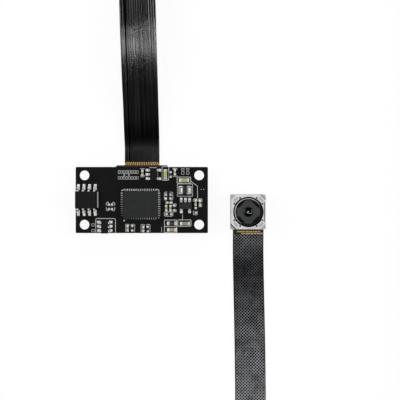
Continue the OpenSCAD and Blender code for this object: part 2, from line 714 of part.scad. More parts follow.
// Room for the ring in front of a tab, and a relief cut at each end of the tab's fold
module tab_window() {
    relief_w = 0.38;
    relief_at = 0.92;
    translate([tab_in - 1, -tab_w / 2]) square([1, tab_w]);
    for (s = [-1, 1]) translate([tab_in + 0.1, s * relief_at]) rotate(45) square(relief_w, center = true);
}

// ---- Moving part of the head ----

module focus_coil() color(copper) head() translate([0, 0, coil_z]) linear_extrude(coil_h) difference() {
    cut_square(coil_side + coil_ledge, coil_in + coil_t);
    cut_square(coil_side, coil_in);
}

// Four lugs hold the coil, which is wound in the groove round them
module lens_carrier() color(plastic) head() {
    lug_l = 1.0;
    lug_x = coil_side + coil_ledge - lug_l / 2;
    difference() {
        union() {
            translate([0, 0, carrier_z]) cylinder(h = carrier_top - carrier_z, r = carrier_r);
            for (a = [0:90:270]) rotate(a) translate([lug_x, 0, coil_z - coil_ledge])
                block([lug_l, 2.2, coil_h + 2 * coil_ledge]);
        }
        translate([0, 0, carrier_z - 1]) cylinder(h = 5, d = barrel_d);
        translate([0, 0, carrier_top - ring_depth]) cylinder(h = 2, r = ring_r);
        translate([0, 0, coil_z]) linear_extrude(coil_h) difference() {
            square(head_w + 1, center = true);
            cut_square(coil_side, coil_in);
        }
    }
}

module carrier_ring() color(steel) head() translate([0, 0, carrier_top - ring_depth]) difference() {
    cylinder(h = can_top - carrier_top + ring_depth, r = ring_r);
    translate([0, 0, -1]) cylinder(h = 5, d = barrel_d);
}

barrel_top = can_top - 0.03;
barrel_z = carrier_z;
front_seat = 3.1;
front_t = 0.4;
front_r = 1.7;
middle_r = 1.9;
middle_z = 2.1;
middle_t = 0.4;
rear_r = 2.2;
rear_z = 1.45;
rear_top = 2.0;
notch_in = 2.18;
notch_d = 0.5;
notch_w = 1.9;

module lens_barrel() color(black) head() difference() {
    rotate_extrude($fn = 96) polygon(concat([
        [aperture_d / 2, front_seat], [aperture_d / 2, front_seat + 0.1],
        [aperture_d / 2 + 0.2, barrel_top - 0.04],
        [1.9, barrel_top], [2.68, barrel_top - 0.02], [2.76, barrel_top - 0.12], [2.86, barrel_top - 0.12],
        [barrel_d / 2, barrel_top - 0.2], [barrel_d / 2, barrel_z], [rear_r, barrel_z]
    ], [
        [rear_r, rear_top + 0.05], [middle_r, rear_top + 0.05], [middle_r, front_seat - front_t],
        [front_r, front_seat - front_t], [front_r, front_seat]
    ]));
    // Notches for the tool that turns the barrel in
    each_corner() translate([notch_in + notch_d / 2, 0, barrel_top - 0.3]) block([notch_d, notch_w, 1]);
}

// A lens with a flat rim, and two faces that are parts of spheres: high is the middle's height over
// the rim's top, and low is the middle's depth under the rim's foot, or less than 0 for a hollow
module lens(rim_r, clear_r, rim_t, high, low) rotate_extrude($fn = 64) polygon(concat(
    [for (i = [0:12]) let (x = clear_r * i / 12) [x, -low * (1 - pow(x / clear_r, 2))]],
    [[rim_r, 0], [rim_r, rim_t]],
    [for (i = [12:-1:0]) let (x = clear_r * i / 12) [x, rim_t + high * (1 - pow(x / clear_r, 2))]]
));

module front_lens() color(clear, 0.6) head() translate([0, 0, front_seat - front_t])
    lens(front_r, aperture_d / 2 - 0.02, front_t, 0.14, 0.05);

module middle_lens() color(clear, 0.6) head() translate([0, 0, middle_z])
    lens(middle_r, 1.3, middle_t, -0.12, 0.06);

module rear_lens() color(clear, 0.6) head() translate([0, 0, rear_z])
    lens(rear_r, 1.8, rear_top - rear_z, -0.1, -0.12);

module lens_spacers() color(black) head() {
    translate([0, 0, middle_z + middle_t])
        flat_ring(middle_r, 1.35, front_seat - front_t - middle_z - middle_t);
    translate([0, 0, rear_top]) flat_ring(middle_r, 1.5, middle_z - rear_top);
}

module lens_retainer() color(black) head() translate([0, 0, barrel_z + 0.1])
    flat_ring(rear_r, 1.9, rear_z - barrel_z - 0.1);

module flat_ring(outer, inner, h) linear_extrude(h) difference() {
    circle(outer);
    circle(inner);
}

circuit_board();
solder_pads();
processor_body();
processor_contacts();
memory_body();
memory_leads();
switch_body();
switch_leads();
converter_body();
converter_leads();
regulator_body();
regulator_leads();
inductor_core();
inductor_terminals();
large_capacitors();
brown_capacitor();
large_resistor();
large_chip_ends();
small_capacitors();
small_capacitor_ends();
small_resistors();
small_resistor_ends();
crystal_base();
crystal_lid();
flex_connector_housing();
flex_connector_latch();
flex_connector_contacts();
flex_connector_tabs();
header_housing();
header_contacts();
header_tabs();
flex_board_end();
flex_cable();
flex_head_end();
head_stiffener();
image_sensor();
sensor_holder();
infrared_filter();
focus_driver();
head_capacitors();
actuator_base();
lower_spring();
magnets();
spacer_frame();
upper_spring();
yoke_can();
focus_coil();
lens_carrier();
carrier_ring();
lens_barrel();
front_lens();
middle_lens();
rear_lens();
lens_spacers();
lens_retainer();
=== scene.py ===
import json
import math

import bmesh
import bpy
from mathutils import Matrix, Vector


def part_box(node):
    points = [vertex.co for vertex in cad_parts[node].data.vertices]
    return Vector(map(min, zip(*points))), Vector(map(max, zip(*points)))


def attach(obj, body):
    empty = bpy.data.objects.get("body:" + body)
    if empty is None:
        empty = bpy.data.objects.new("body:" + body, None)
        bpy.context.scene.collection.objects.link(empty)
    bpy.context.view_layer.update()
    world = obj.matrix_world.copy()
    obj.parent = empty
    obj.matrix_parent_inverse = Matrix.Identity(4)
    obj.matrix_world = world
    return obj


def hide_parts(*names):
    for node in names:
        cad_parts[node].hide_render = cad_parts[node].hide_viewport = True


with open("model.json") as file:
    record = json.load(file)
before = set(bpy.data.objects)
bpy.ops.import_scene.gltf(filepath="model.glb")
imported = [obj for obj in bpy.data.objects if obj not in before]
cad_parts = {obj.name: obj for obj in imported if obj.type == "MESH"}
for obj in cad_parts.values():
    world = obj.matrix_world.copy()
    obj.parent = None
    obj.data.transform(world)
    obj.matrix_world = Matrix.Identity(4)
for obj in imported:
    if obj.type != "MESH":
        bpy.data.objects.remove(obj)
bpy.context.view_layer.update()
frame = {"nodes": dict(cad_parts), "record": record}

nodes = frame["nodes"]
mm = 0.001
up = Vector((0, 0, 1))

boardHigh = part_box("circuit_board")[1]
boardTop = boardHigh.z / mm
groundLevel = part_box("head_stiffener")[0].z
canLow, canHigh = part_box("yoke_can")
lensAxis = (canLow + canHigh) / 2
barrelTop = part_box("lens_barrel")[1].z
canCut = 1.15 * mm          # how far the can's corners are cut back, along each side
canWall = 0.15 * mm

stageSettings = {
    "viewWidth": 0.0907,            # width of the view at the board's face
    "viewCentre": (0.0132, 0.0),
    "cameraHeight": 0.36,
    "sensor": 36.0,
    "floorSize": 3.0,
    "floorGap": 0.00001,            # the floor lies this far under the lowest part
    "floorTint": (0.86, 0.86, 0.86, 1),
    "backdropShare": 0.88,          # how much of the seen floor is plain white
    "backdropLight": 1.04,
    "horizonLight": 0.75,           # the studio's pale walls
    "zenithLight": 0.01,            # and its dark ceiling
    "wallTop": 0.5,                 # sine of the height at which the walls end
}

# name: place, point it faces (none for straight down), width, height, watts
lampSettings = {
    "leftSoftbox": ((-0.34, 0.10, 0.36), (0.01, 0, 0), 0.34, 0.40, 1.3),
    "rightSoftbox": ((0.40, 0.02, 0.34), (0.02, 0, 0), 0.30, 0.40, 1.22),
    "backSoftbox": ((0.05, 0.55, 0.30), (0.01, 0, 0), 0.5, 0.25, 1.0),
    "frontSoftbox": ((0.02, -0.55, 0.28), (0.01, 0, 0), 0.5, 0.2, 0.68),
    "archStrip": ((-0.030, -0.085, 0.80), None, 0.10, 0.09, 0.10),
    "archPanel": ((-0.030, 0.175, 0.80), None, 0.12, 0.20, 0.0022),
    "highSparkle": ((0.041, 0.055, 0.80), None, 0.05, 0.05, 0.11),
    "lowSparkle": ((0.165, -0.165, 0.80), None, 0.05, 0.05, 0.135),
}


def fill(tree, node, inputs):
    # each input is a number or colour to set, or another node's output to link
    for key, value in inputs.items():
        if isinstance(value, bpy.types.NodeSocket):
            tree.links.new(value, node.inputs[key])
        else:
            node.inputs[key].default_value = value


def addNode(tree, kind, inputs=None, **options):
    node = tree.nodes.new("ShaderNode" + kind)
    for key, value in options.items():
        setattr(node, key, value)
    fill(tree, node, inputs or {})
    return node


def addMath(tree, kind, first, second=0, clamp=False):
    return addNode(tree, "Math", {0: first, 1: second}, operation=kind, use_clamp=clamp).outputs[0]


def addRange(tree, value, low, high, fromLow=0.0, fromHigh=1.0, fade="LINEAR"):
    ends = {"From Min": fromLow, "From Max": fromHigh, "To Min": low, "To Max": high}
    return addNode(tree, "MapRange", {"Value": value, **ends}, interpolation_type=fade).outputs[0]


def splitAxes(tree, vector):
    return addNode(tree, "SeparateXYZ", {0: vector}).outputs


def times(tree, first, second):
    return addMath(tree, "MULTIPLY", first, second)


def plainRays(tree):
    # 1 for rays that come straight from the camera, or by way of a shiny or clear surface
    rays = addNode(tree, "LightPath").outputs
    first = addMath(tree, "MAXIMUM", rays["Is Camera Ray"], rays["Is Transmission Ray"])
    return addMath(tree, "MAXIMUM", first, rays["Is Glossy Ray"])


def addObject(name, data):
    made = bpy.data.objects.new(name, data)
    bpy.context.scene.collection.objects.link(made)
    return made


def makeFloor():
    mesh = bpy.data.meshes.new("floor")
    bm = bmesh.new()
    bmesh.ops.create_grid(bm, x_segments=1, y_segments=1, size=stageSettings["floorSize"] / 2)
    bmesh.ops.translate(bm, verts=bm.verts, vec=(0, 0, groundLevel - stageSettings["floorGap"]))
    bm.to_mesh(mesh)
    bm.free()
    floor = addObject("floor", mesh)
    material = bpy.data.materials.new("floorPaper")
    material.use_nodes = True
    tree = material.node_tree
    tree.nodes.clear()
    paper = addNode(tree, "BsdfDiffuse", {"Color": stageSettings["floorTint"]})
    white = addNode(tree, "Emission", {"Strength": stageSettings["backdropLight"]})
    share = times(tree, plainRays(tree), stageSettings["backdropShare"])
    mix = addNode(tree, "MixShader", {0: share, 1: paper.outputs[0], 2: white.outputs[0]})
    addNode(tree, "OutputMaterial", {"Surface": mix.outputs[0]})
    mesh.materials.append(material)


def makeWorld():
    world = bpy.data.worlds.new("studio")
    bpy.context.scene.world = world
    world.use_nodes = True
    tree = world.node_tree
    tree.nodes.clear()
    height = splitAxes(tree, addNode(tree, "TexCoord").outputs["Generated"])[2]
    glow = addRange(tree, height, stageSettings["horizonLight"], stageSettings["zenithLight"], 0,
        stageSettings["wallTop"], "SMOOTHSTEP")
    room = addNode(tree, "Background", {"Strength": glow})
    white = addNode(tree, "Background", {"Color": (1, 1, 1, 1)})
    seen = addNode(tree, "LightPath").outputs["Is Camera Ray"]
    mix = addNode(tree, "MixShader", {0: seen, 1: room.outputs[0], 2: white.outputs[0]})
    addNode(tree, "OutputWorld", {"Surface": mix.outputs[0]})


def makeLamps():
    for name, (place, target, width, height, watts) in lampSettings.items():
        lamp = bpy.data.lights.new(name, "AREA")
        lamp.shape = "RECTANGLE"
        lamp.size = width
        lamp.size_y = height
        lamp.energy = watts
        holder = addObject(name, lamp)
        holder.location = place
        if target:
            way = Vector(target) - Vector(place)
            holder.rotation_euler = way.to_track_quat("-Z", "Y").to_euler()


def makeCamera():
    lens = bpy.data.cameras.new("camera")
    lens.sensor_width = stageSettings["sensor"]
    height = stageSettings["cameraHeight"]
    lens.lens = stageSettings["sensor"] * height / stageSettings["viewWidth"]
    lens.clip_start = 0.01
    lens.clip_end = 10
    holder = addObject("camera", lens)
    holder.location = (*stageSettings["viewCentre"], boardHigh.z + height)
    bpy.context.scene.camera = holder


makeCamera()
makeWorld()
makeFloor()
makeLamps()
bpy.context.scene.view_settings.view_transform = "Standard"
print("stage, lamps and camera are set")


def newMaterial(name):
    material = bpy.data.materials.new(name)
    material.use_nodes = True
    tree = material.node_tree
    shader = tree.nodes["Principled BSDF"]
    return material, tree, shader, addNode(tree, "TexCoord").outputs["Object"]


def addNoise(tree, place, size, detail=3, rough=0.55, stretch=None):
    # size is the width of one speck, in metres
    if stretch:
        place = addNode(tree, "Mapping", {"Vector": place, "Scale": stretch}).outputs[0]
    grain = {"Vector": place, "Scale": 1 / size, "Detail": detail, "Roughness": rough}
    return addNode(tree, "TexNoise", grain).outputs["Fac"]


def asColour(value):
    # a number stands for a grey, and another node's output stays as it is
    if isinstance(value, bpy.types.NodeSocket):
        return value
    return (*value, 1) if isinstance(value, tuple) else (value, value, value, 1)


def addMix(tree, share, first, second):
    ends = {6: asColour(first), 7: asColour(second)}
    return addNode(tree, "Mix", {0: share, **ends}, data_type="RGBA").outputs[2]


def addBump(tree, shader, height, depth, strength=1.0, under=None):
    # depth is the relief from low to high, in metres
    relief = {"Strength": strength, "Distance": depth, "Height": height}
    if under:
        relief["Normal"] = under
    bump = addNode(tree, "Bump", relief).outputs[0]
    fill(tree, shader, {"Normal": bump})
    return bump


def upwards(tree):
    # how far the face looks up: 1 where it lies flat, and 0 where it stands
    return splitAxes(tree, addNode(tree, "NewGeometry").outputs["Normal"])[2]


def awayFrom(tree, axes, middle):
    # how far a place is to the right of a point, and how far behind it
    return [addMath(tree, "SUBTRACT", axes[k], middle[k]) for k in (0, 1)]


def fromLensAxis(tree, axes):
    squares = [addMath(tree, "POWER", away, 2) for away in awayFrom(tree, axes, lensAxis)]
    return addMath(tree, "SQRT", addMath(tree, "ADD", *squares))


def scaled(colour, factor):
    return tuple(min(1, c * factor) for c in colour)


def addTones(tree, noise, first, second, low=0.35, high=0.65):
    # patches of two colours: the first where the noise is under low, the second where it is over high
    return addMix(tree, addRange(tree, noise, 0, 1, low, high), first, second)


def paint(tree, shader, colour):
    fill(tree, shader, {"Base Color": colour})


def roughen(tree, shader, noise, rough, low=0.9, high=1.15):
    # uneven roughness: the shares low and high of the plain one
    uneven = addRange(tree, noise, rough * low, min(1, rough * high), 0.3, 0.7)
    fill(tree, shader, {"Roughness": uneven})


def grainMaterial(name, colour, rough, grain, depth, mottle=0.25, patch=0.0015, specular=0.5, coat=0):
    # moulded, fired or painted stuff: a fine grain, broad soft patches and a matching sheen
    material, tree, shader, place = newMaterial(name)
    fine = addNoise(tree, place, grain, 4, 0.7)
    broad = addNoise(tree, place, patch, 2, 0.5)
    tone = addTones(tree, fine, scaled(colour, 1 - mottle), scaled(colour, 1 + mottle))
    share = addRange(tree, broad, 0, 0.5, 0.35, 0.7)
    paint(tree, shader, addMix(tree, share, tone, scaled(colour, 1 - mottle / 2)))
    roughen(tree, shader, broad, rough, 0.88, 1.14)
    fill(tree, shader, {"Specular IOR Level": specular, "Coat Weight": coat, "Coat Roughness": 0.15})
    addBump(tree, shader, fine, depth)
    return material


def metalMaterial(name, colour, rough, grain, depth, stretch=None, tarnish=0.12, metal=1):
    material, tree, shader, place = newMaterial(name)
    fine = addNoise(tree, place, grain, 4, 0.65, stretch)
    broad = addNoise(tree, place, 0.0012, 2)
    paint(tree, shader, addTones(tree, broad, colour, scaled(colour, 1 - tarnish), 0.35, 0.7))
    fill(tree, shader, {"Metallic": metal})
    roughen(tree, shader, fine, rough, 0.75, 1.3)
    addBump(tree, shader, fine, depth)
    return material


def maskMaterial():
    # black solder mask on the faces, and the bare edge of the glass-fibre board on the sides
    settings = {
        "mask": (0.0026, 0.0026, 0.0023), "edge": (0.05, 0.046, 0.036), "edgeDark": (0.018, 0.017, 0.014),
        "rough": 0.5, "edgeRough": 0.8, "sheen": 0.14, "copperPatch": 0.0022, "flat": 0.7,
    }
    material, tree, shader, place = newMaterial("solderMask")
    fine = addNoise(tree, place, 0.00012, 3)
    patch = addRange(tree, addNoise(tree, place, settings["copperPatch"], 1), 0, 1, 0.47, 0.53)
    mask = addMix(tree, patch, settings["mask"], scaled(settings["mask"], 1.35))
    layers = addNoise(tree, place, 0.0006, 3, 0.6, (1, 1, 9))
    edge = addTones(tree, layers, settings["edgeDark"], settings["edge"])
    flat = addMath(tree, "GREATER_THAN", addMath(tree, "ABSOLUTE", upwards(tree)), settings["flat"])
    paint(tree, shader, addMix(tree, flat, edge, mask))
    sheen = addRange(tree, fine, settings["rough"] * 0.85, settings["rough"] * 1.2, 0.3, 0.7)
    sheen = addMix(tree, flat, settings["edgeRough"], sheen)
    fill(tree, shader, {"Roughness": sheen, "Specular IOR Level": settings["sheen"]})
    first = addBump(tree, shader, patch, 0.000012)
    addBump(tree, shader, fine, 0.000006, 0.6, first)
    return material


def glassMaterial(name, tint, rough, index, film, polished=0):
    # coated glass: the film's noise keeps the reflection from being perfectly even.
    # A lens is brightest near its axis, as far out as polished, in metres
    material, tree, shader, place = newMaterial(name)
    broad = addNoise(tree, place, 0.0009, 2)
    paint(tree, shader, addTones(tree, broad, tint, scaled(tint, 0.9), 0.3, 0.7))
    roughen(tree, shader, broad, rough, 1, 1.8)
    fill(tree, shader, {
        "Transmission Weight": 1, "IOR": index, "Specular IOR Level": 1, "Specular Tint": (*film, 1),
        "Coat Roughness": 0.02, "Coat IOR": 2.1,
    })
    if polished:
        near = addMath(tree, "LESS_THAN", fromLensAxis(tree, splitAxes(tree, place)), polished)
        fill(tree, shader, {"Coat Weight": near})
    return material


def insideCan(tree, axes, ceiling):
    # 1 for what lies inside the can: nearer the lens than its walls, and lower than a ceiling in metres
    across, along = (addMath(tree, "ABSOLUTE", away) for away in awayFrom(tree, axes, lensAxis))
    half = (canHigh.x - canLow.x) / 2
    cornerShift = (half * 2 - canCut) / math.sqrt(2) - half
    slanted = addMath(tree, "DIVIDE", addMath(tree, "ADD", across, along), math.sqrt(2))
    diagonal = addMath(tree, "SUBTRACT", slanted, cornerShift)
    reach = addMath(tree, "MAXIMUM", addMath(tree, "MAXIMUM", across, along), diagonal)
    within = addMath(tree, "LESS_THAN", reach, half - canWall / 2)
    return times(tree, within, addMath(tree, "LESS_THAN", axes[2], ceiling))


def ringedMaterial():
    # the barrel: turned mould marks run round the lens axis
    # the edge colour is painted shade, for the notches, the bevelled rim and the sides
    settings = {
        "colour": (0.029, 0.032, 0.033), "edge": (0.0025, 0.0025, 0.003), "cone": (0.02, 0.02, 0.02),
        "coneReach": (0.0012, 0.0016), "coneShare": 0.25, "rough": 0.46, "pitch": 0.00009, "depth": 0.000004,
        "faceReach": 2.66 * mm, "faceDepth": 0.07 * mm,
    }
    material, tree, shader, place = newMaterial("barrelPlastic")
    fine = addNoise(tree, place, 0.00006, 4, 0.7)
    axes = splitAxes(tree, place)
    radius = fromLensAxis(tree, axes)
    rings = addMath(tree, "SINE", times(tree, radius, 2 * math.pi / settings["pitch"]))
    inner = addRange(tree, radius, 1, 0, *settings["coneReach"])
    tone = addTones(tree, fine, scaled(settings["colour"], 0.8), scaled(settings["colour"], 1.2))
    tone = addMix(tree, times(tree, inner, settings["coneShare"]), tone, settings["cone"])
    # the front face keeps the plastic's grey; painted shade makes its notches, its bevelled rim and its sides
    # black
    near = addMath(tree, "LESS_THAN", radius, settings["faceReach"])
    high = addMath(tree, "GREATER_THAN", axes[2], barrelTop - settings["faceDepth"])
    face = times(tree, near, high)
    paint(tree, shader, addMix(tree, face, settings["edge"], tone))
    fill(tree, shader, {"Specular IOR Level": addRange(tree, face, 0.12, 0.5)})
    roughen(tree, shader, fine, settings["rough"])
    first = addBump(tree, shader, rings, settings["depth"], 0.5)
    addBump(tree, shader, fine, 0.000005, 0.6, first)
    return material


def canMaterial():
    # nickel plated steel: satin, with rolled streaks and a scatter of tiny pits
    # the darkest colour here is painted shade, for the can's inside and its opening's rim, and the fold's
    # grey is a band of painted shade
    settings = {
        "colour": (0.91, 0.905, 0.89), "shadedInside": (0.005, 0.0045, 0.004), "rough": 0.52, "metal": 0.78,
        "pad": (0.62, 0.62, 0.6), "padDepth": 0.03 * mm, "topPlate": 0.1 * mm,
        "rim": (3.2 * mm, 3.42 * mm), "fold": (canHigh.x - 0.4 * mm, canHigh.x - 0.06 * mm),
        "foldShade": (0.1, 0.1, 0.1), "foldEnds": (2 * mm, 2.5 * mm), "soft": 0.08 * mm,
    }
    material, tree, shader, place = newMaterial("canNickel")
    streaks = addNoise(tree, place, 0.0002, 4, 0.7, (1, 5, 1))
    pits = addNoise(tree, place, 0.00012, 3, 0.6)
    broad = addNoise(tree, place, 0.0022, 2)
    tone = addTones(tree, broad, settings["colour"], scaled(settings["colour"], 0.88))
    # the sunk pads in the corners are rough and greyer, and the faces inside the can get painted shade, dull
    # and dark
    axes = splitAxes(tree, place)
    shadedInside = insideCan(tree, axes, canHigh.z - settings["topPlate"])
    sunk = insideCan(tree, axes, canHigh.z - settings["padDepth"])
    speckled = addTones(tree, pits, scaled(settings["pad"], 0.7), scaled(settings["pad"], 1.25), 0.4, 0.6)
    tone = addMix(tree, sunk, tone, speckled)
    # the opening's rim is turned down and gets painted shade, and one side gets a band of painted shade along
    # its fold
    radius = fromLensAxis(tree, axes)
    start, end = settings["rim"]
    rim = times(tree, addMath(tree, "GREATER_THAN", radius, start), addMath(tree, "LESS_THAN", radius, end))
    tone = addMix(tree, rim, tone, settings["shadedInside"])
    start, end = settings["fold"]
    fold = times(tree, addRange(tree, axes[0], 0, 1, start, start + settings["soft"]),
        addRange(tree, axes[0], 1, 0, end - settings["soft"], end))
    middle = addMath(tree, "ABSOLUTE", addMath(tree, "SUBTRACT", axes[1], lensAxis.y))
    fold = times(tree, fold, addRange(tree, middle, 0.85, 0, *settings["foldEnds"]))
    tone = addMix(tree, fold, tone, settings["foldShade"])
    paint(tree, shader, addMix(tree, shadedInside, tone, settings["shadedInside"]))
    fill(tree, shader, {"Metallic": settings["metal"]})
    roughen(tree, shader, streaks, settings["rough"], 0.8, 1.25)
    first = addBump(tree, shader, streaks, 0.000004, 0.7)
    addBump(tree, shader, pits, 0.000004, 0.5, first)
    return material


def ringMaterial():
    # turned metal, with painted light towards the back left and painted shade on the far side of the lens
    settings = {
        "colour": (0.86, 0.85, 0.83), "farShade": (0.03, 0.03, 0.032), "rough": 0.4, "grain": 0.0001,
        "shadeSpan": (-1.4 * mm, 1.2 * mm),
    }
    material, tree, shader, place = newMaterial("carrierRing")
    fine = addNoise(tree, place, settings["grain"], 4, 0.7)
    across, along = awayFrom(tree, splitAxes(tree, place), lensAxis)
    shade = addRange(tree, addMath(tree, "SUBTRACT", along, across), 1, 0, *settings["shadeSpan"])
    paint(tree, shader, addMix(tree, shade, settings["colour"], settings["farShade"]))
    fill(tree, shader, {"Metallic": 0.8})
    roughen(tree, shader, fine, settings["rough"], 0.8, 1.2)
    addBump(tree, shader, fine, 0.000004)
    return material


def coilMaterial():
    settings = {"wire": (0.12, 0.05, 0.02), "gap": (0.03, 0.012, 0.005), "pitch": 0.00006}
    material, tree, shader, place = newMaterial("coilWire")
    turns = addMath(tree, "SINE", times(tree, splitAxes(tree, place)[2], 2 * math.pi / settings["pitch"]))
    paint(tree, shader, addTones(tree, turns, settings["gap"], settings["wire"], -1, 1))
    fill(tree, shader, {"Metallic": 0.9, "Roughness": 0.35})
    addBump(tree, shader, turns, 0.00001)
    return material


def baseMaterial():
    # pale moulding, which is in the dark where the can stands over it
    settings = {"colour": (0.55, 0.55, 0.53), "shaded": (0.004, 0.004, 0.004), "rough": 0.5, "grain": 0.0001}
    material, tree, shader, place = newMaterial("baseMould")
    fine = addNoise(tree, place, settings["grain"], 4, 0.7)
    tone = addTones(tree, fine, scaled(settings["colour"], 0.94), scaled(settings["colour"], 1.06))
    shadedInside = insideCan(tree, splitAxes(tree, place), canHigh.z)
    paint(tree, shader, addMix(tree, shadedInside, tone, settings["shaded"]))
    fill(tree, shader, {"Specular IOR Level": addRange(tree, shadedInside, 0.4, 0.05)})
    roughen(tree, shader, fine, settings["rough"])
    addBump(tree, shader, fine, 0.000006)
    return material


def chipMaterial():
    # fired ceramic of the large capacitors; the one at the board's far edge is a greyer sort
    settings = {
        "olive": (0.5, 0.5, 0.2), "grey": (0.3, 0.31, 0.21), "fleck": (0.16, 0.17, 0.08), "rough": 0.42,
        "greyBelow": -3 * mm,
    }
    material, tree, shader, place = newMaterial("chipCeramic")
    fine = addNoise(tree, place, 0.00008, 4, 0.7)
    lower = addMath(tree, "LESS_THAN", splitAxes(tree, place)[1], settings["greyBelow"])
    tone = addMix(tree, lower, settings["olive"], settings["grey"])
    paint(tree, shader, addMix(tree, addRange(tree, fine, 0.25, 0, 0.35, 0.65), tone, settings["fleck"]))
    roughen(tree, shader, fine, settings["rough"])
    addBump(tree, shader, fine, 0.000005)
    return material


def leadMaterial():
    # tinned leads: bright where they lie flat, with painted shade down their shins and sides
    settings = {
        "colour": (0.9, 0.9, 0.88), "sideShade": (0.03, 0.03, 0.03), "rough": 0.42, "grain": 0.00012, "flat": 0.8,
    }
    material, tree, shader, place = newMaterial("leadPlate")
    fine = addNoise(tree, place, settings["grain"], 4, 0.65)
    facing = addMath(tree, "GREATER_THAN", upwards(tree), settings["flat"])
    paint(tree, shader, addMix(tree, facing, settings["sideShade"], settings["colour"]))
    fill(tree, shader, {"Metallic": 0.7})
    roughen(tree, shader, fine, settings["rough"], 0.8, 1.2)
    addBump(tree, shader, fine, 0.000005)
    return material


def padMaterial():
    # tinned pads: those round the processor are darker, and darkest towards one corner
    settings = {
        "colour": (0.86, 0.86, 0.84), "thin": (0.1, 0.1, 0.095), "rough": 0.4, "grain": 0.00012,
        "middle": (-0.3 * mm, -0.95 * mm), "reach": (4.6 * mm, 3.6 * mm), "slant": 0.5, "topShare": 0.75,
        "dimmest": -4.5 * mm, "brightest": 2.2 * mm,
    }
    material, tree, shader, place = newMaterial("padTin")
    fine = addNoise(tree, place, settings["grain"], 4, 0.65)
    away = awayFrom(tree, splitAxes(tree, place), settings["middle"])
    near = [
        addMath(tree, "LESS_THAN", addMath(tree, "ABSOLUTE", distance), reach)
        for distance, reach in zip(away, settings["reach"])
    ]
    along = addMath(tree, "ADD", times(tree, away[0], settings["slant"]), away[1])
    share = addRange(tree, along, 0, settings["topShare"], settings["dimmest"], settings["brightest"])
    # coat here is only the darker tone of those pads, darkest towards one corner
    coat = addMix(tree, share, settings["thin"], settings["colour"])
    paint(tree, shader, addMix(tree, times(tree, *near), settings["colour"], coat))
    fill(tree, shader, {"Metallic": 1})
    roughen(tree, shader, fine, settings["rough"], 0.75, 1.3)
    addBump(tree, shader, fine, 0.000008)
    return material


solderShine = metalMaterial("solderShine", (0.97, 0.97, 0.96), 0.34, 0.00018, 0.000003, metal=0.3)

# name, colour, roughness, grain in metres, relief in metres, then the mottle and the patches' width
materialOf = {
    "solder_mask": maskMaterial(),
    "solder": metalMaterial("tinPlate", (0.86, 0.86, 0.84), 0.4, 0.00012, 0.000008),
    "grey_package": grainMaterial("greyMould", (0.017, 0.0195, 0.019), 0.6, 0.00007, 0.000006, 0.16,
        specular=0.25),
    "black_package": grainMaterial("blackMould", (0.004, 0.004, 0.004), 0.58, 0.00007, 0.000007, 0.22,
        specular=0.2),
    "ferrite": grainMaterial("ferriteCore", (0.012, 0.012, 0.012), 0.62, 0.0001, 0.00001, 0.3),
    "olive_ceramic": grainMaterial("oliveCeramic", (0.36, 0.36, 0.17), 0.42, 0.00008, 0.000005, 0.2, 0.0005),
    "brown_ceramic": grainMaterial("brownCeramic", (0.4, 0.29, 0.19), 0.42, 0.00008, 0.000005, 0.2, 0.0005),
    "resistor_glaze": grainMaterial("resistorGlaze", (0.011, 0.011, 0.012), 0.25, 0.00009, 0.000004, 0.25,
        0.0006, coat=0.3),
    "pale_ceramic": grainMaterial("paleCeramic", (0.62, 0.6, 0.54), 0.6, 0.00008, 0.000006, 0.08),
    "bright_lid": metalMaterial("brightLid", (0.8, 0.79, 0.77), 0.16, 0.0003, 0.000003),
    "black_plastic": grainMaterial("blackPlastic", (0.009, 0.009, 0.009), 0.5, 0.00012, 0.000006, 0.18),
    "cream_plastic": grainMaterial("creamPlastic", (0.71, 0.66, 0.55), 0.45, 0.00015, 0.000006, 0.05, 0.003),
    "gold_plate": metalMaterial("goldPlate", (0.95, 0.68, 0.3), 0.24, 0.00012, 0.000005),
    "steel_plate": metalMaterial("steelPlate", (0.56, 0.56, 0.55), 0.34, 0.0003, 0.000004, (1, 8, 1)),
    "can_metal": canMaterial(),
    "silicon": grainMaterial("sensorDie", (0.012, 0.009, 0.018), 0.2, 0.00005, 0.000001, 0.35, 0.002),
    "filter_glass": glassMaterial("filterGlass", (0.4, 0.5, 0.5), 0.01, 1.52, (0.7, 0.9, 1)),
    "lens_glass": glassMaterial("lensGlass", (0.035, 0.04, 0.05), 0.012, 1.55, (0.85, 0.92, 1), 0.5 * mm),
    "barrel_black": ringedMaterial(),
    "head_base": baseMaterial(),
    "magnet": metalMaterial("magnetPlate", (0.1, 0.1, 0.1), 0.4, 0.0002, 0.000005),
    "copper_wire": coilMaterial(),
    # the springs' copper is painted near black: painted shade for what shows of them through the gaps round
    # the lens
    "spring_copper": metalMaterial("shadedSpring", (0.012, 0.009, 0.007), 0.5, 0.0002, 0.000003, (1, 4, 1)),
    "flex_black": grainMaterial("flexFilm", (0.011, 0.012, 0.013), 0.2, 0.0001, 0.000003, 0.2),
}

# parts whose look differs from that of their material slot
partMaterials = {
    "large_capacitors": chipMaterial(),
    "inductor_terminals": metalMaterial("terminalPlate", (0.34, 0.34, 0.33), 0.45, 0.00012, 0.000008),
    "processor_contacts": metalMaterial("contactPlate", (0.3, 0.3, 0.29), 0.45, 0.00012, 0.000006),
    "solder_pads": padMaterial(),
    **dict.fromkeys(("memory_leads", "switch_leads", "converter_leads", "regulator_leads"), leadMaterial()),
    "carrier_ring": ringMaterial(),
    "lens_carrier": grainMaterial("carrierPlastic", (0.004, 0.004, 0.004), 0.6, 0.00012, 0.000006, 0.2,
        specular=0.1),
    "flex_board_end": grainMaterial("filmAmber", (0.12, 0.06, 0.02), 0.4, 0.0002, 0.000003, 0.2,
        specular=0.3),
    "flex_head_end": grainMaterial("filmDark", (0.014, 0.01, 0.012), 0.35, 0.0002, 0.000003, 0.2,
        specular=0.3),
}
for part in frame["record"]["subparts"]:
    for holder in nodes[part["node"]].material_slots:
        holder.material = partMaterials.get(part["node"], materialOf[part["material_slot"]])
print("materials are on the packed parts")


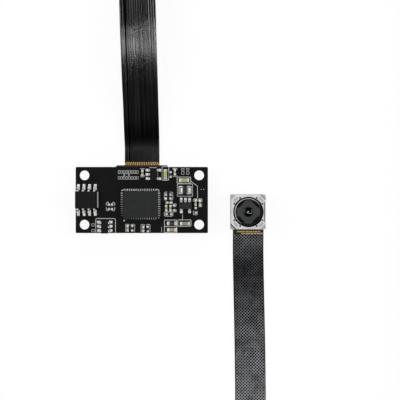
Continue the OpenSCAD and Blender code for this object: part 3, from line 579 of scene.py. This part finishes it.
# each point: x, y, z in metres, the turn about its length in degrees, and the width in metres
flexRoute = [
    (0.0, 0.00865, -0.0011, 0, 0.0079), (0.0, 0.012, -0.0011, 0, 0.0079),
    (-0.0001, 0.016, -0.0003, 0, 0.008), (-0.0002, 0.021, 0.0015, 0, 0.008),
    (-0.00035, 0.027, 0.0035, 0, 0.0081), (-0.0005, 0.0335, 0.0049, 0, 0.00815),
    (-0.0007, 0.04, 0.0054, 0, 0.0082), (-0.0009, 0.047, 0.005, 8, 0.0082),
    (-0.0009, 0.055, 0.0039, 35, 0.0082), (-0.0004, 0.063, 0.0028, 65, 0.0082),
    (0.0018, 0.072, 0.0022, 85, 0.0081), (0.0062, 0.082, 0.0021, 90, 0.008),
    (0.0165, 0.091, 0.002, 90, 0.0079), (0.0325, 0.095, 0.00195, 90, 0.0078),
    (0.0485, 0.091, 0.0019, 90, 0.0077), (0.0595, 0.081, 0.00185, 90, 0.0076),
    (0.065, 0.067, 0.0018, 90, 0.0075), (0.066, 0.051, 0.00175, 90, 0.0074),
    (0.0662, 0.033, 0.0017, 90, 0.0073), (0.0662, 0.014, 0.00165, 90, 0.0072),
    (0.066, -0.005, 0.0016, 90, 0.0071), (0.0659, -0.024, 0.00155, 90, 0.007),
    (0.066, -0.042, 0.00155, 90, 0.007), (0.066, -0.058, 0.00155, 90, 0.007),
    (0.0635, -0.071, 0.00155, 90, 0.007), (0.056, -0.081, 0.00155, 90, 0.007),
    (0.0453, -0.085, 0.00155, 92, 0.007), (0.0345, -0.081, 0.0015, 98, 0.007),
    (0.0272, -0.071, 0.0013, 115, 0.007), (0.025, -0.06, 0.0004, 145, 0.007),
    (0.02475, -0.05, -0.0011, 172, 0.007), (0.0247, -0.041, -0.00175, 180, 0.007),
    (0.02455, -0.031, -0.0016, 180, 0.007), (0.02435, -0.021, -0.00175, 180, 0.007),
    (0.0242, -0.0128, -0.001675, 180, 0.007), (0.0242, -0.0078, -0.001675, 180, 0.007),
]
flexSettings = {
    "length": 0.403,
    "width": 0.008,
    "thickness": 0.0002,
    "ringsPerSpan": 12,
    "edgeRound": 0.00003,
    "traces": 15,
    "traceStep": 0.131,             # this and the next two are shares of half the film's width
    "traceTop": 0.028,
    "traceFoot": 0.048,
    "dip": 0.000012,
    "grooves": (1, 11, 12, 13),     # the gaps between traces that are deeper, counted from one edge
    "grooveDip": 0.00003,
    "film": (0.0006, 0.0007, 0.0008),
    "filmIndex": 2.0,
    "score": -2.82,                 # a scored line, in millimetres from the film's middle
    "scoreHalf": 0.12,
    "dullLength": (5.5, 13.0),      # the film's sheen comes up between these, in millimetres along it
    "softLength": (28.5, 33.5),     # and it falls to less than half between these
    "dullSheen": 0.14,
    "softSheen": 0.42,
    "hatchStrips": 16,
    "hatchHalf": 3.27,              # half the width that the copper covers, in millimetres
    "hatchPitch": 0.5,              # millimetres, as the pattern is laid out on the film
    "hatchLine": (0.262, 0.271, 0.285),
    "hatchCell": (0.0005, 0.0005, 0.0006),
    "headFade": (6.5, 0),           # the painted highlight on the copper brightens over these, in millimetres from the film's end
    "loopFade": (30, 8.5),
}


def routePoint(index):
    return flexRoute[max(0, min(len(flexRoute) - 1, index))]


def routeRing(span, t):
    # place, turn and width on the smooth curve, and the curve's direction
    a, b, c, d = (routePoint(span + k) for k in (-1, 0, 1, 2))
    here = [
        0.5 * (2 * b[k] + (c[k] - a[k]) * t + (2 * a[k] - 5 * b[k] + 4 * c[k] - d[k]) * t * t
            + (3 * b[k] - a[k] - 3 * c[k] + d[k]) * t ** 3)
        for k in range(5)
    ]
    ahead = Vector([
        0.5 * ((c[k] - a[k]) + 2 * (2 * a[k] - 5 * b[k] + 4 * c[k] - d[k]) * t
            + 3 * (3 * b[k] - a[k] - 3 * c[k] + d[k]) * t * t)
        for k in range(3)
    ]).normalized()
    side = ahead.cross(up).normalized()
    top = side.cross(ahead)
    turn = math.radians(here[3])
    across = side * math.cos(turn) + top * math.sin(turn)
    out = top * math.cos(turn) - side * math.sin(turn)
    return Vector(here[:3]), across, out, here[4]


def traceFace():
    # the side with the traces, from one edge to the other: place across, and depth under the top
    step, top, foot = (flexSettings[key] for key in ("traceStep", "traceTop", "traceFoot"))
    last = flexSettings["traces"] - 1
    points = [(-1.0, flexSettings["grooveDip"])]
    for k in range(last + 1):
        middle = (k - last / 2) * step
        if k - 1 in flexSettings["grooves"]:
            points.append((middle - step / 2, flexSettings["grooveDip"]))
        else:
            points.append((middle - foot, flexSettings["dip"]))
        points += [(middle - top, 0.0), (middle + top, 0.0)]
        if k not in flexSettings["grooves"]:
            points.append((middle + foot, flexSettings["dip"]))
    return points + [(1.0, flexSettings["grooveDip"])]


def flexSection(width):
    # points round the ribbon's section: the trace side first, then the hatched side
    high = flexSettings["thickness"] / 2
    bevel = flexSettings["edgeRound"]
    half = width / 2 - bevel
    strips = flexSettings["hatchStrips"]
    traced = [(x * half, high - dip) for x, dip in reversed(traceFace())]
    hatched = [(-half + 2 * half * k / strips, -high) for k in range(strips + 1)]
    left = [(-width / 2, high - 2 * bevel), (-width / 2, bevel - high)]
    right = [(width / 2, bevel - high), (width / 2, high - 2 * bevel)]
    return traced + left + hatched + right


def patternInputs(tree):
    # the film's own map: how far across and how far along, in millimetres
    flat = addNode(tree, "UVMap", uv_map="film").outputs[0]
    return flat, splitAxes(tree, flat)


def traceSideMaterial():
    # glossy black film: each trace rises and falls a little along its length, which breaks up the sheen
    material, tree, shader, place = newMaterial("flexTraceSide")
    flat, axes = patternInputs(tree)
    waves = addNoise(tree, flat, 1.0, 2, 0.6, (1.9, 0.03, 1))
    fine = addNoise(tree, place, 0.00012, 3)
    film = flexSettings["film"]
    paint(tree, shader, addTones(tree, waves, scaled(film, 0.7), scaled(film, 1.6), 0.4, 0.7))
    roughen(tree, shader, waves, 1, 0.16, 0.26)
    # the film is dull where it is glued down, by the board, and fine lines run along all of it
    lines = addNoise(tree, flat, 1.0, 2, 0.7, (2.3, 0.004, 1))
    raised = addRange(tree, axes[1], flexSettings["dullSheen"], 1, *flexSettings["dullLength"])
    lowered = addRange(tree, axes[1], 1, flexSettings["softSheen"], *flexSettings["softLength"])
    gloss = times(tree, times(tree, raised, lowered), addRange(tree, lines, 0.45, 1, 0.38, 0.6))
    offLine = addMath(tree, "ABSOLUTE", addMath(tree, "SUBTRACT", axes[0], flexSettings["score"]))
    scored = addMath(tree, "LESS_THAN", offLine, flexSettings["scoreHalf"])
    gloss = addMath(tree, "SUBTRACT", gloss, scored, True)
    fill(tree, shader, {"Specular IOR Level": gloss, "IOR": flexSettings["filmIndex"]})
    first = addBump(tree, shader, waves, 0.00002, 0.8)
    addBump(tree, shader, fine, 0.000002, 0.5, first)
    return material


def hatchSideMaterial():
    # crossed copper lines under the film, at 45 degrees to its length
    material, tree, shader = newMaterial("flexHatchSide")[:3]
    flat, axes = patternInputs(tree)
    step = 2 * math.pi / (flexSettings["hatchPitch"] * math.sqrt(2))
    lines = []
    for kind in ("ADD", "SUBTRACT"):
        wave = addMath(tree, "SINE", times(tree, addMath(tree, kind, axes[0], axes[1]), step))
        lines.append(addRange(tree, wave, 0, 1, 0.6, 0.95))
    covered = addMath(tree, "LESS_THAN", addMath(tree, "ABSOLUTE", axes[0]), flexSettings["hatchHalf"])
    mesh = times(tree, addMath(tree, "MAXIMUM", *lines), covered)
    blotch = addNoise(tree, flat, 1.0, 2, 0.6, (0.4, 0.4, 1))
    # painted light: the copper is painted dullest a little way from the head, and brighter along the film, as
    # a painted highlight
    end = flexSettings["length"] / mm
    toHead = addRange(tree, axes[1], 0.3, 1.0, *(end - back for back in flexSettings["headFade"]))
    toLoop = addRange(tree, axes[1], 1.75, 0.27, *(end - back for back in flexSettings["loopFade"]))
    patches = addRange(tree, blotch, 0.62, 1.35, 0.35, 0.65)
    fade = times(tree, addMath(tree, "MAXIMUM", toHead, toLoop), patches)
    cell, line = flexSettings["hatchCell"], scaled(flexSettings["hatchLine"], 2)
    # shine carries the painted highlight along the copper lines
    shine = addMix(tree, times(tree, fade, 0.5), cell, line)
    paint(tree, shader, addMix(tree, mesh, cell, shine))
    fill(tree, shader, {"Metallic": addRange(tree, mesh, 0.0, 0.95), "Specular IOR Level": 0.1})
    roughen(tree, shader, blotch, 1, 0.34, 0.44)
    addBump(tree, shader, mesh, 0.000004, 0.5)
    return material


def finishPiece(bm, name, materials, smooth=True):
    # smooth is None for a piece that has set its own faces
    bmesh.ops.recalc_face_normals(bm, faces=bm.faces)
    if smooth is not None:
        for face in bm.faces:
            face.smooth = smooth
    mesh = bpy.data.meshes.new(name)
    bm.to_mesh(mesh)
    bm.free()
    for material in materials:
        mesh.materials.append(material)
    piece = addObject(name, mesh)
    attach(piece, "module")
    return piece


def makeFlexRibbon():
    perSpan = flexSettings["ringsPerSpan"]
    spans = len(flexRoute) - 1
    stations = [routeRing(i, k / perSpan) for i in range(spans) for k in range(perSpan)]
    stations.append(routeRing(spans - 1, 1.0))
    around = len(flexSection(flexSettings["width"]))
    columns = around + 1
    bm = bmesh.new()
    film = bm.loops.layers.uv.new("film")
    # a flat grid is rolled up: its columns go round the section, and its rows along the route
    bmesh.ops.create_grid(bm, x_segments=around, y_segments=len(stations) - 1, size=1)
    bm.verts.ensure_lookup_table()
    marks = {}
    along = 0.0
    for row, (middle, across, out, width) in enumerate(stations):
        along += (middle - stations[max(0, row - 1)][0]).length
        section = flexSection(width)
        for column in range(columns):
            x, z = section[column % around]
            vert = bm.verts[row * columns + column]
            vert.co = middle + across * x + out * z
            marks[vert] = (x / mm, along / mm)
    # trace side, hatched side and cut edge, by the column that each face lies in
    tracedColumns = len(traceFace()) - 1
    kinds = [0] * tracedColumns + [2] * 3 + [1] * flexSettings["hatchStrips"] + [2] * 3
    for face in bm.faces:
        face.smooth = True
        face.material_index = kinds[min(v.index % columns for v in face.verts)]
        for loop in face.loops:
            loop[film].uv = marks[loop.vert]
    # the traces keep crisp edges along the length
    for edge in bm.edges:
        side = {v.index % columns for v in edge.verts}
        if len(side) == 1 and min(side) <= tracedColumns:
            edge.smooth = False
    seam = [v for v in bm.verts if v.index % columns in (0, around)]
    bmesh.ops.remove_doubles(bm, verts=seam, dist=0.0000001)
    for end in bmesh.ops.holes_fill(bm, edges=[e for e in bm.edges if e.is_boundary])["faces"]:
        end.material_index = 2
        end.smooth = False
    sides = [traceSideMaterial(), hatchSideMaterial(), materialOf["flex_black"]]
    ribbon = finishPiece(bm, "flexRibbon", sides, smooth=None)
    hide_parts("flex_cable")


makeFlexRibbon()
print("flexible circuit is laid")


def solidBoxes(node):
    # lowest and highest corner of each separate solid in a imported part, in millimetres
    bm = bmesh.new()
    bm.from_mesh(nodes[node].data)
    bmesh.ops.remove_doubles(bm, verts=bm.verts, dist=1e-7)
    left = set(bm.verts)
    boxes = []
    while left:
        stack = [left.pop()]
        island = []
        while stack:
            v = stack.pop()
            island.append(v.co.copy())
            for e in v.link_edges:
                other = e.other_vert(v)
                if other in left:
                    left.remove(other)
                    stack.append(other)
        low = Vector([min(p[k] for p in island) for k in range(3)]) / mm
        high = Vector([max(p[k] for p in island) for k in range(3)]) / mm
        boxes.append((low, high))
    bm.free()
    return sorted(boxes, key=lambda box: tuple(round(c, 3) for c in box[0]))


def addSlab(bm, low, high, bevel):
    # a block between two corners in millimetres, with softened edges
    size = [(high[k] - low[k]) * mm for k in range(3)]
    middle = [(high[k] + low[k]) / 2 * mm for k in range(3)]
    place = Matrix.Translation(middle) @ Matrix.Diagonal((*size, 1))
    made = bmesh.ops.create_cube(bm, size=1.0, matrix=place)
    edges = {e for v in made["verts"] for e in v.link_edges}
    bmesh.ops.bevel(bm, geom=list(edges), offset=bevel * mm, offset_type="OFFSET", segments=1,
        profile=0.5, affect="EDGES", material=-1)


def addStrip(bm, points, width, low, high, closed=False):
    # a flat line of even width through points in millimetres, with mitred turns
    count = len(points)
    sides = []
    for k in range(count):
        here = Vector((*points[k], 0))
        before = Vector((*points[k - 1], 0)) if (k or closed) else None
        after = Vector((*points[(k + 1) % count], 0)) if (k < count - 1 or closed) else None
        steps = (here - before if before else None, after - here if after else None)
        ways = [step.normalized() for step in steps if step]
        mean = sum(ways, Vector()).normalized()
        side = Vector((-mean.y, mean.x, 0))
        stretch = 1 / max(0.4, abs(side.dot(Vector((-ways[0].y, ways[0].x, 0)))))
        offset = side * (width / 2 * stretch)
        sides.append([bm.verts.new((here + way + up * low) * mm) for way in (offset, -offset)])
    faces = []
    for k in range(count if closed else count - 1):
        a, b = sides[k], sides[(k + 1) % count]
        faces.append(bm.faces.new((a[0], a[1], b[1], b[0])))
    grown = bmesh.ops.extrude_face_region(bm, geom=faces)["geom"]
    tops = [g for g in grown if isinstance(g, bmesh.types.BMVert)]
    bmesh.ops.translate(bm, verts=tops, vec=(0, 0, (high - low) * mm))


def addDisc(bm, x, y, radius, low, high):
    place = Matrix.Translation(Vector((x, y, (low + high) / 2)) * mm)
    bmesh.ops.create_cone(bm, cap_ends=True, segments=20, radius1=radius * mm, radius2=radius * mm,
        depth=(high - low) * mm, matrix=place)


def frameWith(low, high, corner, steps=5):
    # a closed rectangle with round corners
    points = []
    corners = ((high[0], high[1], 0), (low[0], high[1], 90), (low[0], low[1], 180), (high[0], low[1], 270))
    for cx, cy, start in corners:
        x = cx - math.copysign(corner, cx - (low[0] + high[0]) / 2)
        y = cy - math.copysign(corner, cy - (low[1] + high[1]) / 2)
        for k in range(steps + 1):
            a = math.radians(start + 90 * k / steps)
            points.append((x + corner * math.cos(a), y + corner * math.sin(a)))
    return points


def bentLine(points, corner):
    # an open line whose turns are rounded
    out = [points[0]]
    for before, here, after in zip(points, points[1:], points[2:]):
        h = Vector(here)
        a = h + (Vector(before) - h).normalized() * corner
        b = h + (Vector(after) - h).normalized() * corner
        for k in range(5):
            t = k / 4
            p = a * (1 - t) ** 2 + h * 2 * t * (1 - t) + b * t * t
            out.append((p.x, p.y))
    out.append(points[-1])
    return out


printSettings = {
    "lift": 0.002,
    "thick": 0.014,
    "line": 0.13,
    "markLine": 0.08,
    "colour": (0.62, 0.62, 0.61),
    "markColour": (0.6, 0.61, 0.6),
}

# plain lines: width, the corners' radius, then the points
printLines = [
    (0.26, 0, [(-9.99, 1.83), (-9.99, -1.71)]),
    (0.13, 0.4, [(-10.45, -7.42), (-10.45, -4.2), (-5.97, -4.2), (-5.97, -7.42)]),
    (0.12, 0.3, [(-7.5, -0.52), (-8.05, -0.52), (-8.05, -1.25)]),
    (0.12, 0.3, [(-8.05, -1.65), (-8.05, -2.42), (-7.5, -2.42)]),
    (0.12, 0.3, [(-6.75, -0.52), (-6.14, -0.52), (-6.14, -1.25)]),
    (0.12, 0.3, [(-6.14, -1.65), (-6.14, -2.42), (-6.75, -2.42)]),
    (0.2, 0, [(-4.6, 2.05), (-4.12, 2.42)]),
    (0.15, 0.4, [(3.23, 2.4), (3.87, 2.4), (3.87, 1.75)]),
    (0.13, 0, [(3.87, -3.8), (3.87, -4.23)]),
    (0.13, 0, [(-0.38, 7.12), (0.66, 7.12)]),
    (0.1, 0.3, [(-0.3, 5.65), (-0.3, 5.25), (0.6, 5.25), (0.6, 5.65)]),
    (0.13, 0, [(1.72, 7.34), (3.4, 7.34)]),
    (0.1, 0, [(3.62, 6.4), (3.62, 5.25)]),
    (0.1, 0.2, [(7.04, 5.6), (7.04, 5.3), (7.98, 5.3), (7.98, 5.6)]),
    (0.12, 0.2, [(7.04, 6.9), (7.04, 7.2), (7.95, 7.2), (7.95, 6.9)]),
    (0.11, 0.3, [(5.75, 1.78), (5.12, 1.78), (5.12, -0.03), (5.6, -0.03)]),
    (0.11, 0.3, [(6.35, 1.78), (7.02, 1.78), (7.02, -0.03), (6.5, -0.03)]),
    (0.1, 0.35, [(7.05, -1.4), (7.05, -0.85), (7.85, -0.85), (7.85, -1.4)]),
    (0.1, 0.3, [(7.05, -2.2), (7.05, -2.68), (7.85, -2.68), (7.85, -2.2)]),
    (0.11, 0.3, [(11.68, -0.35), (11.68, 0.26), (12.6, 0.26), (12.6, -0.35)]),
    (0.11, 0.3, [(12.85, -0.3), (12.85, 0.3), (13.62, 0.3), (13.62, -0.5)]),
    (0.11, 0.3, [(13.62, -0.9), (13.62, -1.52), (12.85, -1.52)]),
    (0.11, 0.25, [(11.68, -2.4), (11.68, -3.34), (12.6, -3.34), (12.6, -2.4)]),
    (0.13, 0, [(5.2, -5.98), (8.0, -5.98)]),
    (0.08, 0, [(4.5, -6.14), (4.5, -7.27)]),
    (0.1, 0.15, [(-2.86, -5.7), (-2.86, -5.5), (-3.65, -5.5), (-3.65, -7.3)]),
    (0.1, 0.15, [(-2.45, -5.7), (-2.45, -5.5), (-1.62, -5.5), (-1.62, -7.3)]),
    (0.1, 0.15, [(0.64, -5.75), (0.64, -5.54), (-0.16, -5.54), (-0.16, -7.3)]),
    (0.1, 0.15, [(1.05, -5.75), (1.05, -5.54), (1.87, -5.54), (1.87, -7.3)]),
    (0.12, 0, [(11.12, 4.3), (12.63, 3.11), (12.63, 0.44)]),
    (0.12, 0, [(9.2, -3.3), (9.24, -4.42)]),
]
# closed frames: low corner, high corner and corner radius
printFrames = [
    ((4.6, 4.44), (6.1, 7.58), 0.25), ((8.02, 3.85), (11.09, 5.2), 0.08), ((8.08, 0.86), (11.5, 3.66), 0.08),
    ((5.14, -7.4), (7.96, -4.54), 0.15), ((8.17, -5.96), (11.17, -4.5), 0.25),
    ((5.12, -3.66), (7.04, -2.72), 0.3),
]
printDots = [(-4.02, -4.68, 0.17), (13.5, 2.4, 0.1), (14.05, 2.4, 0.1), (-14.7, 2.35, 0.12)]
# rows of plain marks: x, y of the first, number, step, width and height of one mark
markRows = [
    (-5.14, 6.35, 8, 0.59, 0.4, 0.68), (-5.14, 5.0, 8, 0.59, 0.4, 0.62),
    (-3.97, 5.7, 2, 1.04, 0.22, 0.5), (9.3, 6.95, 2, 1.12, 0.6, 0.45), (9.3, 6.12, 2, 1.12, 0.6, 0.6),
    (-11.05, -5.65, 1, 0.5, 0.6, 0.55), (-11.05, -6.95, 1, 0.5, 0.6, 0.55),
]


def makePrint():
    low = boardTop + printSettings["lift"]
    high = boardTop + printSettings["thick"]
    bm = bmesh.new()
    for width, corner, points in printLines:
        addStrip(bm, bentLine(points, corner) if corner else points, width, low, high)
    for start, end, corner in printFrames:
        addStrip(bm, frameWith(start, end, corner), printSettings["line"], low, high, closed=True)
    for x, y, radius in printDots:
        addDisc(bm, x, y, radius, low, high)
    ink = grainMaterial("whiteInk", printSettings["colour"], 0.6, 0.0001, 0.000004, 0.14, 0.0008)
    lines = finishPiece(bm, "boardPrint", [ink], smooth=False)

    bm = bmesh.new()
    for x, y, count, step, width, height in markRows:
        for k in range(count):
            cx = x + k * step
            outline = frameWith((cx - width / 2, y - height / 2), (cx + width / 2, y + height / 2), 0.08, 3)
            addStrip(bm, outline, printSettings["markLine"], low, high, closed=True)
    pale = grainMaterial("paleInk", printSettings["markColour"], 0.6, 0.0001, 0.000004, 0.2, 0.0006)
    marks = finishPiece(bm, "boardMarks", [pale], smooth=False)


makePrint()
print("print is on the board")


solderSettings = {
    "leadRise": 0.13, "leadSpread": 0.94,       # a mound's height in millimetres, and its share of the pad
    "chipClimb": 0.3, "chipSpread": 0.78,       # the first is a share of the chip's height
    "underRise": 0.12, "underSpread": 0.98,
    "sunk": 0.01, "squareness": 0.72,
    "overlap": {"memory_leads": 0.06, "switch_leads": 0.32, "converter_leads": 0.45, "regulator_leads": 0.3},
}
# the solder on the inductor's terminals, as distances from each terminal's edges
barSettings = {
    "left": 0.34, "right": (0.12, 0.1), "front": 0.3, "back": 0.45, "fillet": 0.14, "filletLeft": 0.02,
    "filletRight": 0.05, "thick": 0.02, "bevel": 0.01,
}


def addDome(bm, low, high, rise, spread):
    # a low mound of solder over a pad
    cx, cy = (low.x + high.x) / 2, (low.y + high.y) / 2
    size = Vector(((high.x - low.x) / 2 * spread, (high.y - low.y) / 2 * spread, rise)) * mm
    foot = high.z - solderSettings["sunk"]
    place = Matrix.Translation(Vector((cx, cy, foot)) * mm) @ Matrix.Diagonal((*size, 1))
    made = bmesh.ops.create_uvsphere(bm, u_segments=16, v_segments=10, radius=1.0, matrix=place)["verts"]
    for v in made:
        v.co.z = max(v.co.z, foot * mm)
        # square the mound off a little, so that it fills the pad
        for axis, middle, half in ((0, cx * mm, size.x), (1, cy * mm, size.y)):
            r = (v.co[axis] - middle) / half
            v.co[axis] = middle + math.copysign(abs(r) ** solderSettings["squareness"], r) * half


def over(box, middle, slack):
    return all(box[0][k] - slack < middle[k] < box[1][k] + slack for k in (0, 1))


def toeOf(pad, lead, overlap):
    # the part of a pad that lies past its lead's toe, and a little of what is under the lead
    low, high = pad[0].copy(), pad[1].copy()
    gaps = [(lead[0][k] - low[k], k, 0) for k in (0, 1)] + [(high[k] - lead[1][k], k, 1) for k in (0, 1)]
    gap, axis, end = max(gaps)
    if end:
        low[axis] = lead[1][axis] - overlap
    else:
        high[axis] = lead[0][axis] + overlap
    return low, high


def addBars(bm):
    # a bright bar along each of the inductor's terminals, and a fillet at both of its ends
    for (low, high), right in zip(solidBoxes("inductor_terminals"), barSettings["right"]):
        bottom, top = high.z - solderSettings["sunk"], high.z + barSettings["thick"]
        addSlab(bm, (low.x + barSettings["left"], low.y + barSettings["front"], bottom),
            (high.x - right, high.y - barSettings["back"], top), barSettings["bevel"])
        for y in (low.y, high.y - barSettings["fillet"]):
            addSlab(bm, (low.x + barSettings["filletLeft"], y, bottom),
                (high.x - barSettings["filletRight"], y + barSettings["fillet"], top), barSettings["bevel"])


def makeSolder():
    bm = bmesh.new()
    pads = solidBoxes("solder_pads")
    chips = [
        box for node in ("small_capacitor_ends", "small_resistor_ends", "large_chip_ends")
        for box in solidBoxes(node) if box[0].z > 0.5
    ]
    overlaps = solderSettings["overlap"]
    leads = [(box, overlaps[node]) for node in overlaps for box in solidBoxes(node)]
    for low, high in pads:
        if low.z < 0.5:
            continue
        middle = (low + high) / 2
        ends = [box for box in chips if over(box, middle, 0.2)]
        legs = [leg for leg in leads if over(leg[0], middle, 0.3)]
        if ends:
            rise = (ends[0][1].z - high.z) * solderSettings["chipClimb"]
            addDome(bm, low, high, rise, solderSettings["chipSpread"])
        elif legs:
            toe = toeOf((low, high), *legs[0])
            addDome(bm, *toe, solderSettings["leadRise"], solderSettings["leadSpread"])
    addBars(bm)
    solder = finishPiece(bm, "solderJoints", [solderShine])

    # the pads underneath are built the right way up, and turned over together
    bm = bmesh.new()
    for low, high in pads:
        if low.z < 0.5:
            flipped = Vector((low.x, low.y, -high.z)), Vector((high.x, high.y, -low.z))
            addDome(bm, *flipped, solderSettings["underRise"], solderSettings["underSpread"])
    bmesh.ops.transform(bm, matrix=Matrix.Diagonal((1, 1, -1, 1)), verts=bm.verts)
    under = finishPiece(bm, "solderUnderside", [solderShine])


makeSolder()
print("solder is on the pads")


traceSettings = {
    "count": 15, "width": 0.22, "thick": 0.02, "sunk": 0.005, "margin": 0.2, "fan": 0.8, "length": 1.15,
    "bevel": 0.008, "colour": (0.71, 0.5, 0.2), "padColour": (0.7, 0.51, 0.27), "rough": 0.35,
}
# bars on the head's end of the film: left and right ends, and the row's low and high edges
palePads = [(21.6, 23.45, -7.34, -7.06), (22.6, 23.45, -7.76, -7.5)]
upperPads = [(23.6, 24.2), (24.3, 25.1), (25.25, 25.6), (25.75, 26.3), (26.4, 26.95)]
lowerPads = [(23.6, 24.6), (24.7, 25.35), (25.5, 26.1), (26.2, 26.7), (26.8, 27.5)]
orangePads = [(*ends, -7.32, -7.06) for ends in upperPads] + [(*ends, -7.78, -7.48) for ends in lowerPads]


def makeGoldTraces():
    paleGold, orangeGold = (
        metalMaterial(name, traceSettings[colour], traceSettings["rough"], 0.00012, 0.000005)
        for name, colour in (("paleGold", "colour"), ("orangeGold", "padColour"))
    )
    low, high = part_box("flex_board_end")
    start, end, top = high.y / mm - traceSettings["length"], high.y / mm, high.z / mm
    half = (high.x - low.x) / mm / 2 - traceSettings["margin"] - traceSettings["fan"] / 2
    bm = bmesh.new()
    for k in range(traceSettings["count"]):
        share = 2 * k / (traceSettings["count"] - 1) - 1
        line = [(share * half + share * traceSettings["fan"], start), (share * half, end)]
        addStrip(bm, line, traceSettings["width"], top - traceSettings["sunk"], top + traceSettings["thick"])
    gold = finishPiece(bm, "boardEndTraces", [paleGold], smooth=False)

    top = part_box("flex_head_end")[1].z / mm
    groups = (("headEndTraces", palePads, paleGold), ("headEndPads", orangePads, orangeGold))
    for name, pads, material in groups:
        bm = bmesh.new()
        for left, right, near, far in pads:
            addSlab(bm, (left, near, top - traceSettings["sunk"]), (right, far, top + traceSettings["thick"]),
                traceSettings["bevel"])
        strip = finishPiece(bm, name, [material], smooth=False)


makeGoldTraces()
print("gold traces are on both ends")


# black beads that stand for the shade in the gap at two of the can's corners
cornerShadeSettings = {
    "width": 0.24, "low": 0.7, "high": 0.95, "offset": 0.1, "bevel": 0.05, "colour": (0.003, 0.003, 0.003),
}


def makeCornerShade():
    # black beads along the feet of two of the can's cut corners: painted shade in the gap between can and
    # base
    half = (canHigh.x - canLow.x) / mm / 2
    cut = half - canCut / mm
    out = cornerShadeSettings["offset"]
    bm = bmesh.new()
    for side in (1, -1):
        ends = [(cut, half + out), (half + out, cut)]
        points = [(lensAxis.x / mm + side * x, lensAxis.y / mm + side * y) for x, y in ends]
        addStrip(bm, points, cornerShadeSettings["width"], cornerShadeSettings["low"], cornerShadeSettings["high"])
    bmesh.ops.bevel(bm, geom=bm.edges[:], offset=cornerShadeSettings["bevel"] * mm, segments=2, profile=0.5,
        affect="EDGES", material=-1)
    black = grainMaterial("cornerShade", cornerShadeSettings["colour"], 0.5, 0.0002, 0.00001, 0.2, specular=0.2)
    beads = finishPiece(bm, "canCornerShade", [black])


makeCornerShade()
print("sealant is round the can")
